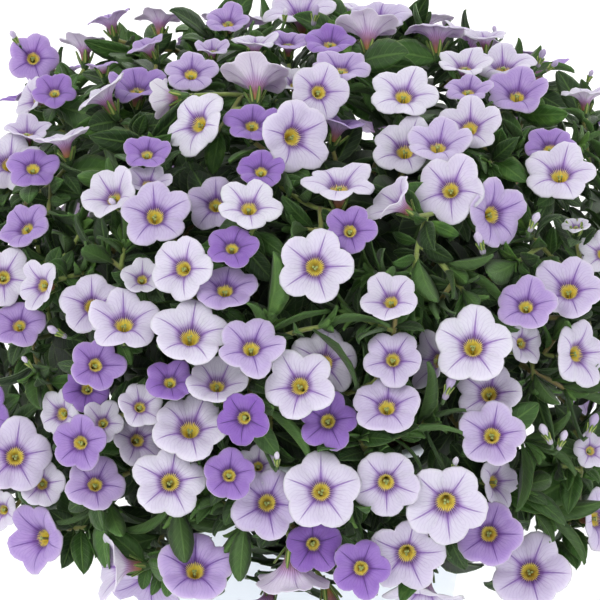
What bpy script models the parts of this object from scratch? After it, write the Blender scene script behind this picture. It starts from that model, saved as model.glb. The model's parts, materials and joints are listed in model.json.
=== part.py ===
"""A potted calibrachoa in full flower, in metres, +Z up, its pot standing on the ground at the origin.

The plant is a mound of leafy stems. Each stem rises from its own hole in the soil and branches into side
shoots, and each side shoot ends in a trumpet bloom or in a tuft of leaves. The blooms on the seen side sit
where they are read by eye in the picture, and a golden-angle rule carries them round the far sides.
"""

import math
import random

import bmesh
import bpy
from mathutils import Quaternion, Vector
from mathutils.bvhtree import BVHTree

MM = 0.001
SEED = 41

# Pot
POT_HEIGHT = 140 * MM
POT_RIM_RADIUS = 78.5 * MM
POT_BASE_RADIUS = 62.5 * MM
POT_WALL = 2.4 * MM
POT_FLOOR = 3.0 * MM
POT_LIP = 1.2 * MM
POT_SIDES = 24
DRAIN_HOLES = 5
DRAIN_RADIUS = 4.5 * MM
DRAIN_CIRCLE = 42 * MM

# Soil
SOIL_TOP = 131 * MM
SOIL_GAP = 0.4 * MM
HOLE_DEPTH = 22 * MM
HOLE_GAP = 0.5 * MM

# Mound of stems and blooms
MOUND_RADIUS = 165 * MM
MOUND_MIDDLE = 150 * MM
MOUND_RISE = 140 * MM
MOUND_FALL = 66 * MM
MOUND_POWER = 2.5
MOUND_FOOT = 100 * MM
STEM_RADIUS = 2.1 * MM
STEM_DEPTH = 40 * MM
STEM_RINGS = ((1, 0.0), (6, 34.0), (9, 64.0), (12, 93.0))
SHOOT_RADIUS = 0.95 * MM
FAR_BLOOMS = 66
LEAST_GAP = 0.32 * MM

# The view that the picture is taken from, in its frame of 600 by 600 pixels
VIEW_TILT = math.radians(26.0)
VIEW_DISTANCE = 1.0
VIEW_FOCAL = 2357.0
VIEW_SIZE = 600.0
RIM_CENTRE_X = 304.0
RIM_CENTRE_Y = 373.0

# Blooms read by eye: middle x, middle y, width, pitch up, yaw right, lean right, tint, layer from the front
BLOOMS = (
    (33, 57, 54, 12, 0, 0, 0.60, 0),
    (85, 41, 52, 100, 0, 0, 0.15, 0),
    (54, 89, 46, 40, -5, 0, 0.85, 0),
    (28, 98, 50, 10, -60, 0, 0.10, 1),
    (108, 14, 50, 82, 0, -16, 0.65, 0),
    (160, 14, 52, 95, 0, 0, 0.15, 0),
    (145, 42, 44, 80, 0, -30, 0.60, 0),
    (102, 62, 34, 85, 0, -10, 0.75, 0),
    (99, 90, 62, 84, 0, -33, 0.10, 0),
    (137, 82, 62, 60, 0, 0, 0.75, 0),
    (212, 46, 38, 62, 0, 0, 0.45, 0),
    (191, 70, 58, 40, 0, 0, 0.50, 0),
    (163, 98, 45, -5, -108, 0, 0.10, 1),
    (193, 121, 73, 20, -38, 0, 0.03, 0),
    (252, 120, 58, 42, 0, 0, 0.85, 0),
    (228, 17, 47, 50, 0, 0, 0.60, 0),
    (255, 38, 48, 70, 0, 0, 0.20, 0),
    (288, 38, 48, 60, 0, 0, 0.65, 0),
    (287, 58, 50, 58, 0, 0, 1.00, 1),
    (330, 37, 55, 55, 0, 0, 0.85, 0),
    (341, 63, 60, 55, 0, 0, 0.50, 0),
    (368, 25, 66, 108, 0, 0, 0.15, 0),
    (437, 25, 66, 94, 0, 0, 0.35, 0),
    (485, 33, 44, 74, 0, 0, 0.20, 0),
    (465, 60, 58, 58, 0, 0, 0.05, 0),
    (503, 58, 68, 62, 0, 0, 0.10, 0),
    (468, 85, 52, 55, 0, 0, 0.55, 0),
    (517, 88, 64, 45, 0, 0, 0.60, 0),
    (405, 90, 72, 38, 8, 0, 0.05, 0),
    (405, 145, 72, 38, 0, 0, 0.07, 1),
    (438, 139, 67, 48, 0, 0, 0.35, 0),
    (470, 124, 66, 30, 0, 0, 0.10, 1),
    (550, 144, 54, 40, 0, 0, 0.75, 1),
    (560, 169, 76, 42, 0, 0, 0.06, 0),
    (585, 90, 50, 80, 0, 0, 0.12, 0),
    (27, 127, 50, 60, 0, 0, 0.25, 1),
    (10, 160, 70, 35, 0, 0, 0.05, 1),
    (33, 165, 55, 35, 0, 0, 0.75, 0),
    (62, 134, 58, 84, 0, -14, 0.12, 0),
    (22, 223, 58, 35, -35, 0, 0.65, 0),
    (109, 192, 62, 35, -30, 0, 0.10, 0),
    (148, 181, 50, 40, 0, 0, 0.25, 1),
    (155, 212, 74, 25, 0, 0, 0.35, 0),
    (3, 276, 62, 10, 0, 0, 0.08, 0),
    (38, 285, 55, 5, -38, 0, 0.10, 0),
    (92, 303, 66, 20, 0, 0, 0.15, 1),
    (142, 277, 45, 30, 0, 0, 0.10, 2),
    (180, 267, 68, 10, -20, 0, 0.10, 0),
    (147, 150, 50, 42, 0, 0, 0.80, 0),
    (210, 175, 58, 35, 0, 0, 0.08, 1),
    (216, 202, 62, 25, 0, 0, 0.35, 1),
    (249, 203, 68, 38, 0, 0, 0.03, 0),
    (261, 168, 52, 38, 0, 0, 0.90, 0),
    (298, 136, 78, 5, 30, 0, 0.12, 0),
    (320, 90, 62, 15, 10, 0, 0.12, 0),
    (340, 119, 57, 78, 0, 15, 0.75, 0),
    (256, 73, 72, 112, 0, 0, 0.12, 0),
    (295, 78, 45, 50, 0, 0, 0.10, 1),
    (232, 244, 55, 35, 0, 0, 0.85, 0),
    (225, 285, 68, 42, 0, 0, 0.55, 0),
    (315, 266, 80, 5, 0, 0, 0.12, 0),
    (350, 229, 56, 18, 0, 0, 0.75, 0),
    (339, 177, 77, 60, 0, 0, 0.10, 0),
    (390, 198, 62, 35, -72, 0, 0.15, 0),
    (449, 187, 73, 22, -10, 0, 0.10, 0),
    (498, 214, 73, 5, 38, 0, 0.50, 0),
    (389, 297, 60, 35, -15, 0, 0.12, 0),
    (526, 303, 63, 32, 0, 0, 0.60, 0),
    (569, 287, 74, 28, 0, 0, 0.30, 0),
    (603, 252, 50, 20, 0, 0, 0.08, 1),
    (576, 223, 30, 60, 0, 0, 0.10, 1),
    (18, 322, 56, 30, -10, 0, 0.65, 1),
    (124, 318, 78, 40, 0, 0, 0.12, 0),
    (190, 331, 82, 34, 0, 0, 0.08, 0),
    (251, 344, 72, 34, 0, 0, 0.40, 0),
    (97, 364, 58, 10, 12, 0, 0.75, 0),
    (86, 388, 50, 10, -10, 0, 0.85, 2),
    (62, 368, 56, 15, -20, 0, 0.08, 1),
    (58, 414, 56, 0, -35, 0, 0.08, 2),
    (125, 380, 64, 20, -20, 0, 0.08, 0),
    (141, 405, 50, 20, 10, 0, 0.12, 2),
    (170, 379, 54, 35, 0, 0, 0.88, 1),
    (217, 380, 66, 42, 0, 0, 0.08, 1),
    (298, 384, 76, 12, -10, 0, 0.10, 0),
    (473, 344, 83, 18, 0, 0, 0.06, 0),
    (393, 357, 62, 20, 0, 0, 0.30, 1),
    (326, 360, 70, 15, 8, 0, 0.08, 1),
    (428, 360, 60, 5, -55, 0, 0.12, 1),
    (387, 403, 72, 32, 0, 0, 0.30, 0),
    (489, 392, 70, 15, 0, 0, 0.10, 2),
    (492, 434, 72, 12, 0, 0, 0.40, 0),
    (583, 353, 70, 5, 42, 0, 0.08, 0),
    (526, 342, 50, 10, 40, 0, 0.10, 2),
    (190, 424, 82, 32, 0, 0, 0.08, 1),
    (15, 456, 78, 5, 0, 0, 0.18, 0),
    (242, 418, 57, 0, -15, 0, 0.92, 0),
    (78, 442, 60, 5, -15, 0, 0.70, 0),
    (107, 447, 50, 10, -25, 0, 0.85, 1),
    (95, 482, 62, 20, 0, 0, 0.50, 1),
    (170, 481, 78, 8, 0, 0, 0.07, 0),
    (229, 474, 56, 10, 0, 0, 0.82, 0),
    (267, 503, 76, 0, 0, 0, 0.35, 1),
    (33, 538, 72, 0, -44, 0, 0.60, 0),
    (112, 566, 72, 0, -62, 0, 0.10, 0),
    (195, 566, 80, 30, 0, 0, 0.50, 0),
    (42, 484, 50, 0, 0, 0, 0.15, 2),
    (103, 421, 45, 20, 0, 0, 0.10, 2),
    (140, 439, 58, 10, 20, 0, 0.20, 2),
    (258, 464, 46, 20, 0, 0, 0.08, 2),
    (0, 510, 44, 0, -30, 0, 0.10, 1),
    (328, 420, 62, 8, 0, 0, 0.85, 1),
    (321, 490, 80, 8, 0, 0, 0.08, 0),
    (386, 484, 72, -12, 0, 0, 0.15, 1),
    (446, 505, 86, -14, 0, 0, 0.07, 0),
    (313, 545, 58, -8, 0, 0, 0.90, 1),
    (361, 568, 63, 0, 0, 0, 0.80, 0),
    (291, 580, 80, -112, 0, 0, 0.12, 1),
    (407, 556, 78, -15, 0, 0, 0.15, 1),
    (489, 534, 69, 0, 0, 0, 0.60, 1),
    (530, 571, 80, 5, 0, 0, 0.15, 1),
    (502, 482, 56, 0, 48, 0, 0.15, 2),
    (604, 519, 66, 0, 50, 0, 0.30, 1),
    (592, 450, 40, 10, 20, 0, 0.20, 1),
)

# Leafy tips between the blooms, read by eye: x, y
TUFTS = (
    (345, 8), (28, 200), (62, 218), (92, 245), (68, 262), (110, 232), (140, 120), (106, 160),
    (425, 252), (418, 288), (462, 256), (480, 286), (450, 296), (380, 262), (548, 218), (590, 205),
    (500, 140), (535, 128), (535, 250), (592, 128), (300, 210), (555, 385), (590, 395), (548, 452),
    (578, 476), (535, 500), (560, 530), (590, 545), (236, 545), (14, 372), (30, 398), (262, 322),
    (322, 322), (360, 310), (410, 325), (90, 520), (70, 545), (165, 525), (125, 515), (205, 515),
    (365, 448), (410, 445), (436, 430), (268, 412), (352, 520), (450, 555), (22, 250),
)  # fmt: skip
FAR_TUFTS = 14
TIP_STEP = 4 * MM

# Degrees of flatness and thousandths of a millimetre that a union's slivers are merged by, coarsest first
TIDY_STEPS = (
    (2.5, 120), (2.5, 40), (2.5, 10), (1, 40), (1, 10), (1, 3), (0.3, 10), (0.3, 2), (0, 2), (0, 0),
)  # fmt: skip


# Geometry of the view and of the mound
def view_axes():
    right = Vector((1, 0, 0))
    up = Vector((0, math.sin(VIEW_TILT), math.cos(VIEW_TILT)))
    ahead = Vector((0, math.cos(VIEW_TILT), -math.sin(VIEW_TILT)))
    return right, up, ahead


def view_point():
    right, up, ahead = view_axes()
    scale = VIEW_DISTANCE / VIEW_FOCAL
    aim = Vector((0, 0, POT_HEIGHT))
    aim += up * (RIM_CENTRE_Y - VIEW_SIZE / 2) * scale
    aim -= right * (RIM_CENTRE_X - VIEW_SIZE / 2) * scale
    return aim - ahead * VIEW_DISTANCE


def view_ray(x, y):
    right, up, ahead = view_axes()
    ray = ahead + right * ((x - VIEW_SIZE / 2) / VIEW_FOCAL) - up * ((y - VIEW_SIZE / 2) / VIEW_FOCAL)
    return ray.normalized()


def in_view(point):
    """The pixel that a point falls on."""
    right, up, ahead = view_axes()
    offset = point - view_point()
    depth = offset.dot(ahead)
    x = VIEW_SIZE / 2 + VIEW_FOCAL * offset.dot(right) / depth
    y = VIEW_SIZE / 2 - VIEW_FOCAL * offset.dot(up) / depth
    return x, y


def mound_level(point):
    """1 on the mound's surface, less inside it."""
    across = math.hypot(point.x, point.y) / MOUND_RADIUS
    height = point.z - MOUND_MIDDLE
    height /= MOUND_RISE if height > 0 else -MOUND_FALL
    return (across**MOUND_POWER + height**MOUND_POWER) ** (1 / MOUND_POWER)


def mound_normal(point):
    step = 0.5 * MM
    slope = []
    for axis in range(3):
        ahead = point.copy()
        behind = point.copy()
        ahead[axis] += step
        behind[axis] -= step
        slope.append(mound_level(ahead) - mound_level(behind))
    return Vector(slope).normalized()


def mound_hit(x, y):
    """Where the ray through a pixel meets the mound, or passes nearest to it."""
    start = view_point()
    ray = view_ray(x, y)
    nearest = None
    for step in range(240):
        point = start + ray * (VIEW_DISTANCE * 0.7 + step * 2 * MM)
        level = mound_level(point)
        if nearest is None or level < nearest[0]:
            nearest = (level, point)
        if level <= 1:
            return point
    return nearest[1]


def mound_point(turn, polar):
    """The surface point seen from the mound's middle at these angles."""
    middle = Vector((0, 0, MOUND_MIDDLE - 12 * MM))
    way = Vector((math.cos(turn) * math.sin(polar), math.sin(turn) * math.sin(polar), math.cos(polar)))
    low = 0.0
    high = 0.4
    for _ in range(30):
        half = (low + high) / 2
        if mound_level(middle + way * half) < 1:
            low = half
        else:
            high = half
    return middle + way * low


# Shapes, as lists of points and triangles
def frames_along(points):
    """A side and an upper direction at each point of a path, without twist."""
    tangents = []
    for i, point in enumerate(points):
        before = points[max(i - 1, 0)]
        after = points[min(i + 1, len(points) - 1)]
        tangents.append((after - before).normalized())
    side = tangents[0].orthogonal().normalized()
    frames = []
    for tangent in tangents:
        side = (side - tangent * side.dot(tangent)).normalized()
        frames.append((side, tangent.cross(side)))
    return frames


def ring_at(middle, frame, radius, sides):
    side, upper = frame
    turns = [2 * math.pi * i / sides for i in range(sides)]
    return [middle + side * math.cos(a) * radius + upper * math.sin(a) * radius for a in turns]


def join_rings(faces, start_a, count_a, start_b, count_b):
    """Triangles between two rings that turn the same way, with unlike counts of points."""
    a = 0
    b = 0
    while a < count_a or b < count_b:
        step_a = (a + 1) / count_a
        step_b = (b + 1) / count_b
        at_a = start_a + a % count_a
        at_b = start_b + b % count_b
        if b >= count_b or (a < count_a and step_a <= step_b):
            faces.append((at_a, start_a + (a + 1) % count_a, at_b))
            a += 1
        else:
            faces.append((at_a, start_b + (b + 1) % count_b, at_b))
            b += 1


def tube_shape(points, radii, sides):
    rings = []
    faces = []
    for point, frame, radius in zip(points, frames_along(points), radii):
        rings.extend(ring_at(point, frame, radius, sides))
    for i in range(len(points) - 1):
        join_rings(faces, i * sides, sides, (i + 1) * sides, sides)
    last = (len(points) - 1) * sides
    for i in range(1, sides - 1):
        faces.append((0, i + 1, i))
        faces.append((last, last + i, last + i + 1))
    return rings, faces


def bloom_axes(bloom):
    facing = bloom["facing"]
    side = Vector((0, 0, 1)).cross(facing)
    if side.length < 0.05:
        side = Vector((1, 0, 0)).cross(facing)
    side.normalize()
    turn = Quaternion(facing, bloom["roll"])
    side = turn @ side
    return side, facing.cross(side), facing


def rim_points(bloom, grow=0.0):
    """Five broad lobes with a shallow notch between each two."""
    side, upper, facing = bloom_axes(bloom)
    radius = bloom["radius"] + grow
    points = []
    for lobe in range(5):
        for offset, reach, drop in ((0, 1.02, 0.07), (36, 0.88, 0.0)):
            angle = math.radians(72 * lobe + offset)
            spread = side * math.cos(angle) + upper * math.sin(angle)
            points.append(bloom["middle"] + spread * radius * reach - facing * bloom["radius"] * drop)
    return points


def bloom_foot(bloom, share=1.0):
    """A point on the corolla's axis, from the rim (0) back to the calyx (1)."""
    return bloom["middle"] - bloom["facing"] * bloom["radius"] * 1.05 * share


def trumpet_shape(bloom, grow=0.0):
    """The corolla alone, for finding room."""
    points = rim_points(bloom, grow)
    faces = []
    count = len(points)
    neck = [bloom_foot(bloom, 0.34), bloom_foot(bloom, 1.0)]
    side, upper, facing = bloom_axes(bloom)
    for middle, radius in zip(neck, (0.17, 0.10)):
        points.extend(ring_at(middle, (upper, side), bloom["radius"] * radius + grow / 2, 3))
    front = len(points)
    points.append(bloom["middle"] - facing * (bloom["radius"] * 0.13 - grow))
    for i in range(count):
        faces.append((front, i, (i + 1) % count))
    for i in range(count):
        faces.append((i, count + i * 3 // count, (i + 1) % count))
    join_rings(faces, count, 3, count + 3, 3)
    faces.append((count + 3, count + 4, count + 5))
    return points, faces


def bloom_shape(bloom):
    """Side shoot, calyx, tube and flared face as one loft."""
    path = list(bloom["shoot"])
    radii = [SHOOT_RADIUS * 1.25] + [SHOOT_RADIUS] * (len(path) - 2) + [bloom["radius"] * 0.10]
    path.append(bloom_foot(bloom, 0.34))
    radii.append(bloom["radius"] * 0.17)
    frames = frames_along(path)
    points = []
    faces = []
    for point, frame, radius in zip(path, frames, radii):
        points.extend(ring_at(point, frame, radius, 3))
    for i in range(len(path) - 1):
        join_rings(faces, i * 3, 3, (i + 1) * 3, 3)
    faces.append((0, 2, 1))
    neck = len(points) - 3
    side = frames[-1][0]
    upper = frames[-1][1]
    rim = rim_points(bloom)
    start = min(range(len(rim)), key=lambda i: -(rim[i] - bloom["middle"]).dot(side))
    rim = rim[start:] + rim[:start]
    if (rim[1] - rim[0]).dot(upper) < 0:
        rim = [rim[0]] + rim[:0:-1]
    first = len(points)
    points.extend(rim)
    join_rings(faces, neck, 3, first, len(rim))
    throat = len(points)
    points.append(bloom["middle"] - bloom["facing"] * bloom["radius"] * 0.13)
    for i in range(len(rim)):
        faces.append((throat, first + i, first + (i + 1) % len(rim)))
    return points, faces


def leaf_sections(leaf, grow=0.0):
    """Two sections of a narrow blade with a ridge on top, and its point."""
    ahead = leaf["ahead"]
    upper = leaf["upper"]
    side = ahead.cross(upper)
    length = leaf["length"]
    width = leaf["width"] + grow
    points = []
    for along, half, ridge, lift in ((0.38, 0.5, 1.0, 0.05), (0.70, 0.40, 0.8, 0.04)):
        spine = leaf["base"] + ahead * length * along + upper * length * lift
        points.append(spine + side * width * half)
        points.append(spine - side * width * half)
        points.append(spine + upper * (ridge * MM + grow))
    points.append(leaf["base"] + ahead * (length + grow) - upper * length * 0.05)
    return points


def add_leaf(points, faces, root, leaf, grow=0.0):
    """Grows a blade out of a triangle of three points: left, right and upper."""
    first = len(points)
    points.extend(leaf_sections(leaf, grow))
    loops = [root, (first, first + 1, first + 2), (first + 3, first + 4, first + 5)]
    for low, high in zip(loops, loops[1:]):
        for i in range(3):
            j = (i + 1) % 3
            faces.append((low[i], low[j], high[i]))
            faces.append((low[j], high[j], high[i]))
    for i in range(3):
        faces.append((loops[2][i], loops[2][(i + 1) % 3], first + 6))


def leaf_shape(leaf, grow=0.0):
    """The blade past its foot, for finding room."""
    points = []
    faces = [(0, 2, 1)]
    side = leaf["ahead"].cross(leaf["upper"])
    foot = leaf["base"] + leaf["ahead"] * leaf["length"] * 0.16
    points.append(foot + side * leaf["width"] * 0.25)
    points.append(foot - side * leaf["width"] * 0.25)
    points.append(foot + leaf["upper"] * (0.9 * MM + grow))
    add_leaf(points, faces, (0, 1, 2), leaf, grow)
    return points, faces


def tuft_path(path):
    """A shoot's path with a short last step for its leaves to grow from."""
    along = (path[-1] - path[-2]).normalized()
    return path[:-1] + [path[-1] - along * TIP_STEP, path[-1]]


def tuft_shape(tuft):
    """A side shoot whose last step and end carry leaves."""
    path = tuft_path(tuft["shoot"])
    radii = [SHOOT_RADIUS * 1.2] + [SHOOT_RADIUS] * (len(path) - 1)
    points, faces = tube_shape(path, radii, 3)
    last = (len(path) - 1) * 3
    for leaf in tuft["leaves"]:
        k = leaf["slot"]
        if k == 3:
            root = (last, last + 1, last + 2)
        else:
            root = (last - 3 + k, last - 3 + (k + 1) % 3, last + k)
        faces.remove(next(face for face in faces if set(face) == set(root)))
        top = max(range(3), key=lambda i: points[root[i]].dot(leaf["upper"]))
        add_leaf(points, faces, root[top + 1 :] + root[: top + 1], leaf)
    return points, faces


# Room between the pieces
class Room:
    """What is placed so far, kept so that new pieces can be tested against it."""

    def __init__(self):
        self.held = []

    def add(self, shape, stem, kind):
        points, faces = shape
        low = [min(p[i] for p in points) for i in range(3)]
        high = [max(p[i] for p in points) for i in range(3)]
        tree = BVHTree.FromPolygons([tuple(p) for p in points], faces)
        self.held.append({"tree": tree, "low": low, "high": high, "stem": stem, "kind": kind})
        return self.held[-1]

    def hits(self, shape, passes=lambda held: False):
        points, faces = shape
        low = [min(p[i] for p in points) for i in range(3)]
        high = [max(p[i] for p in points) for i in range(3)]
        tree = None
        for held in self.held:
            if passes(held):
                continue
            if any(low[i] > held["high"][i] or high[i] < held["low"][i] for i in range(3)):
                continue
            if tree is None:
                tree = BVHTree.FromPolygons([tuple(p) for p in points], faces)
            if tree.overlap(held["tree"]):
                return True
        return False


# Main stems
def stem_path(turn, polar, ring):
    """Up from its hole in the soil and out to the place that its shoots fill."""
    tip = mound_point(turn, polar)
    tip -= mound_normal(tip) * STEM_DEPTH
    out = Vector((math.cos(turn), math.sin(turn), 0))
    foot_radius = (2, 17, 36, 54)[ring] * MM
    foot = out * foot_radius + Vector((0, 0, SOIL_TOP - HOLE_DEPTH + 1.5 * MM))
    rise = out * foot_radius + Vector((0, 0, SOIL_TOP + 4 * MM))
    reach = math.hypot(tip.x, tip.y)
    knee_radius = foot_radius + (reach - foot_radius) * (0.35, 0.30, 0.30, 0.22)[ring]
    knee_height = (0.0, 235 * MM, 215 * MM, 196 * MM)[ring] or tip.z - 30 * MM
    knee = out * knee_radius + Vector((0, 0, knee_height))
    path = [foot]
    for step in range(6):
        t = step / 5
        path.append(rise * (1 - t) ** 2 + knee * 2 * t * (1 - t) + tip * t * t)
    return path


def main_stems():
    stems = []
    for ring, (count, polar) in enumerate(STEM_RINGS):
        for i in range(count):
            turn = 2 * math.pi * (i + 0.5 * (ring % 2)) / count + 0.35
            path = stem_path(turn, math.radians(polar), ring)
            radii = [STEM_RADIUS * (1 - 0.45 * k / (len(path) - 1)) for k in range(len(path))]
            stems.append({"path": path, "radii": radii})
    return stems


# Blooms
def facing_from(pitch, yaw, lean, ray):
    right, up, _ = view_axes()
    toward = -ray
    pitch = math.radians(pitch)
    yaw = math.radians(yaw)
    level = toward * math.cos(yaw) + right * math.sin(yaw)
    facing = level * math.cos(pitch) + up * math.sin(pitch)
    return (Quaternion(ray, math.radians(lean)) @ facing).normalized()


def photo_blooms(room, rng):
    """Front layer first, and each bloom slides back along its line of sight until it is clear."""
    placed = []
    for x, y, width, pitch, yaw, lean, tint, layer in sorted(BLOOMS, key=lambda row: row[7]):
        ray = view_ray(x, y)
        start = mound_hit(x, y)
        facing = facing_from(pitch, yaw, lean, ray)
        roll = rng.uniform(-0.35, 0.35)
        for step in range(30):
            middle = start + ray * (layer * 5 - 5 + step * 1.6) * MM
            depth = (middle - view_point()).dot(view_axes()[2])
            radius = width / 2 * depth / VIEW_FOCAL
            bloom = {"middle": middle, "facing": facing, "roll": roll, "radius": radius, "tint": tint}
            if not room.hits(trumpet_shape(bloom, 0.9 * MM)):
                bloom["held"] = room.add(trumpet_shape(bloom), len(placed), "bloom")
                bloom["seen"] = True
                placed.append(bloom)
                break
    return placed


def seen(point, normal):
    """Whether the picture shows this part of the surface."""
    x, y = in_view(point)
    toward = (view_point() - point).normalized()
    return -14 < x < 614 and y < 604 and normal.dot(toward) > 0.16


def golden_directions(count):
    """Turns and polar angles spread evenly, by area, over the mound from its top to its foot."""
    lowest = math.cos(math.radians(106))
    for i in range(count):
        level = 1 - (1 - lowest) * (i + 0.5) / count
        yield i * math.pi * (3 - math.sqrt(5)), math.acos(level)


def far_blooms(room, rng, placed):
    found = []
    spots = list(golden_directions(FAR_BLOOMS * 6))
    rng.shuffle(spots)
    for turn, polar in spots:
        surface = mound_point(turn, polar)
        normal = mound_normal(surface)
        tint = rng.choice((0.05, 0.08, 0.1, 0.12, 0.15, 0.35, 0.4, 0.5, 0.6, 0.75, 0.85, 0.9))
        width = rng.uniform(24, 28) if tint > 0.45 else rng.uniform(28, 33)
        tilt = Vector([rng.uniform(-0.35, 0.35) for _ in range(3)]) + Vector((0, 0, 0.3))
        roll = rng.uniform(-0.6, 0.6)
        sink = rng.uniform(-1, 6) * MM
        if surface.z < MOUND_FOOT or seen(surface, normal):
            continue
        facing = (normal + tilt).normalized()
        middle = surface - normal * sink
        bloom = {"middle": middle, "facing": facing, "roll": roll, "radius": width / 2 * MM, "tint": tint}
        if room.hits(trumpet_shape(bloom, 1.6 * MM)):
            continue
        bloom["held"] = room.add(trumpet_shape(bloom), len(placed) + len(found), "bloom")
        bloom["seen"] = False
        found.append(bloom)
        if len(found) == FAR_BLOOMS:
            break
    return found


# Side shoots
def bezier(a, b, c, d, steps):
    points = []
    for i in range(steps + 1):
        t = i / steps
        points.append(a * (1 - t) ** 3 + b * 3 * t * (1 - t) ** 2 + c * 3 * t * t * (1 - t) + d * t**3)
    return points


def on_stem(stem, share):
    """A point on a stem's path and the direction there."""
    path = stem["path"]
    at = 1 + share * (len(path) - 2)
    i = min(int(at), len(path) - 2)
    return path[i].lerp(path[i + 1], at - i), (path[i + 1] - path[i]).normalized()


def stem_forks(stems):
    """The places on the main stems that a side shoot can leave from."""
    forks = []
    for number, stem in enumerate(stems):
        for share in (1.0, 0.92, 0.84, 0.76, 0.68, 0.6, 0.52, 0.44, 0.36):
            start, ahead = on_stem(stem, share)
            if share == 1.0:
                start = start - ahead * 1.5 * MM
            forks.append({"stem": number, "start": start, "ahead": ahead, "used": False})
    return forks


def shoot_choices(forks, foot, away):
    """Ways to reach a foot, the cheapest first: fork and path."""
    choices = []
    load = {}
    for fork in forks:
        load[fork["stem"]] = load.get(fork["stem"], 0) + fork["used"]
    for fork in forks:
        if fork["used"]:
            continue
        gap = foot - fork["start"]
        if gap.length < 7 * MM or gap.length > 95 * MM:
            continue
        straight = gap.normalized()
        for bend in (0.4, 0.15, 0.7):
            leave = fork["start"] + (fork["ahead"] * 0.6 + straight) * gap.length * 0.25
            arrive = foot + away * gap.length * bend
            turn = 2 - straight.dot(-away) - straight.dot(fork["ahead"])
            cost = gap.length * (1 + 0.25 * turn + 0.1 * bend + 0.05 * load[fork["stem"]])
            steps = 1 if gap.length < 18 * MM else 2
            choices.append((cost, fork, bezier(fork["start"], leave, arrive, foot, steps)))
    choices.sort(key=lambda choice: choice[0])
    return choices[:45]


def above_pot(points):
    """Whether a path stays clear of the pot and the soil."""
    for point in points:
        across = math.hypot(point.x, point.y)
        if across < POT_RIM_RADIUS + 4 * MM and point.z < POT_HEIGHT + 4 * MM:
            return False
        if point.z < MOUND_FOOT - 14 * MM:
            return False
    return True


def shoot_clear(room, path, number, own, strict):
    """Whether a shoot meets no other piece, past the point where it leaves its own stem."""

    def is_own(held):
        return held is own or (held["stem"] == number and held["kind"] != "bloom")

    def is_strange(held):
        return held is own or held["stem"] != number or held["kind"] in ("stem", "bloom")

    thick = [SHOOT_RADIUS + 0.45 * MM] * len(path)
    if room.hits(tube_shape(path, thick, 3), is_own):
        return False
    rest = [path[0].lerp(path[1], 0.6)] + path[1:]
    return not strict or not room.hits(tube_shape(rest, thick, 3), is_strange)


def grow_shoot(forks, room, foot, away, own):
    """The first way that meets nothing of another stem, and then its own stem's pieces if it must."""
    choices = shoot_choices(forks, foot, away)
    for strict in (True, False):
        for _, fork, path in choices:
            number = fork["stem"]
            if above_pot(path[1:]) and shoot_clear(room, path, number, own, strict):
                fork["used"] = True
                for i, share in ((0, 0.6), (0, 0.95), (1, 0.4))[: 2 * len(path) - 3]:
                    start = path[i].lerp(path[i + 1], share)
                    ahead = (path[i + 1] - path[i]).normalized()
                    forks.append({"stem": number, "start": start, "ahead": ahead, "used": False})
                return number, path
    return None, None


def connect_blooms(forks, room, blooms):
    kept = []
    for bloom in blooms:
        bloom["held"]["stem"] = -1
    for bloom in sorted(blooms, key=lambda b: mound_level(b["middle"])):
        foot = bloom_foot(bloom)
        number, path = grow_shoot(forks, room, foot, -bloom["facing"], bloom["held"])
        if number is None:
            room.held.remove(bloom["held"])
            continue
        bloom["stem"] = number
        bloom["shoot"] = path
        bloom["held"]["stem"] = number
        radii = [SHOOT_RADIUS * 1.25] + [SHOOT_RADIUS] * (len(path) - 1)
        bloom["grown"] = room.add(tube_shape(path, radii, 3), number, "shoot")
        kept.append(bloom)
    return kept


# Leafy tips
def try_leaf(room, shoot, slot, base, ahead, outward, length):
    ahead = ahead.normalized()
    upper = (outward - ahead * outward.dot(ahead)).normalized()
    leaf = {"base": base, "ahead": ahead, "upper": upper, "slot": slot}
    leaf["length"] = length
    leaf["width"] = length * 0.38
    tip = base + ahead * length
    if mound_level(tip) > 1.03 or tip.z < MOUND_FOOT - 16 * MM or not above_pot([tip, base.lerp(tip, 0.5)]):
        return None
    if room.hits(leaf_shape(leaf, 0.8 * MM), lambda held: held is shoot):
        return None
    room.add(leaf_shape(leaf), shoot["stem"], "leaf")
    return leaf


def tuft_spots():
    spots = []
    for x, y in TUFTS:
        point = mound_hit(x, y)
        spots.append(point - mound_normal(point) * 12 * MM)
    far = 0
    for turn, polar in golden_directions(150):
        point = mound_point(turn + 0.9, polar)
        normal = mound_normal(point)
        if far < FAR_TUFTS and point.z > MOUND_FOOT + 6 * MM and not seen(point, normal):
            spots.append(point - normal * 13 * MM)
            far += 1
    return spots


def grow_tufts(forks, room, rng):
    """Leafy side shoots that end between the blooms."""
    tufts = []
    for spot in tuft_spots():
        outward = mound_normal(spot)
        number, path = grow_shoot(forks, room, spot, -outward, None)
        if number is None:
            continue
        steps = tuft_path(path)
        shoot = room.add(tube_shape(steps, [SHOOT_RADIUS] * len(steps), 3), number, "shoot")
        ring = [frame[0] for frame in frames_along(steps)][-1]
        along = (steps[-1] - steps[-2]).normalized()
        leaves = []
        for slot in range(4):
            if slot == 3:
                ahead = along + outward * 0.3
                base = steps[-1] - along * 0.3 * MM
                top = ring
            else:
                out = Quaternion(along, math.radians(60 + 120 * slot)) @ ring
                ahead = out * 0.85 + along * rng.uniform(0.3, 0.8)
                base = steps[-1] - along * TIP_STEP * 0.7
                top = along
            for length in (26, 21, 16):
                leaf = try_leaf(room, shoot, slot, base, ahead, top, length * rng.uniform(0.9, 1.1) * MM)
                if leaf:
                    leaves.append(leaf)
                    break
        tufts.append({"stem": number, "shoot": path, "leaves": leaves})
    return tufts


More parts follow.
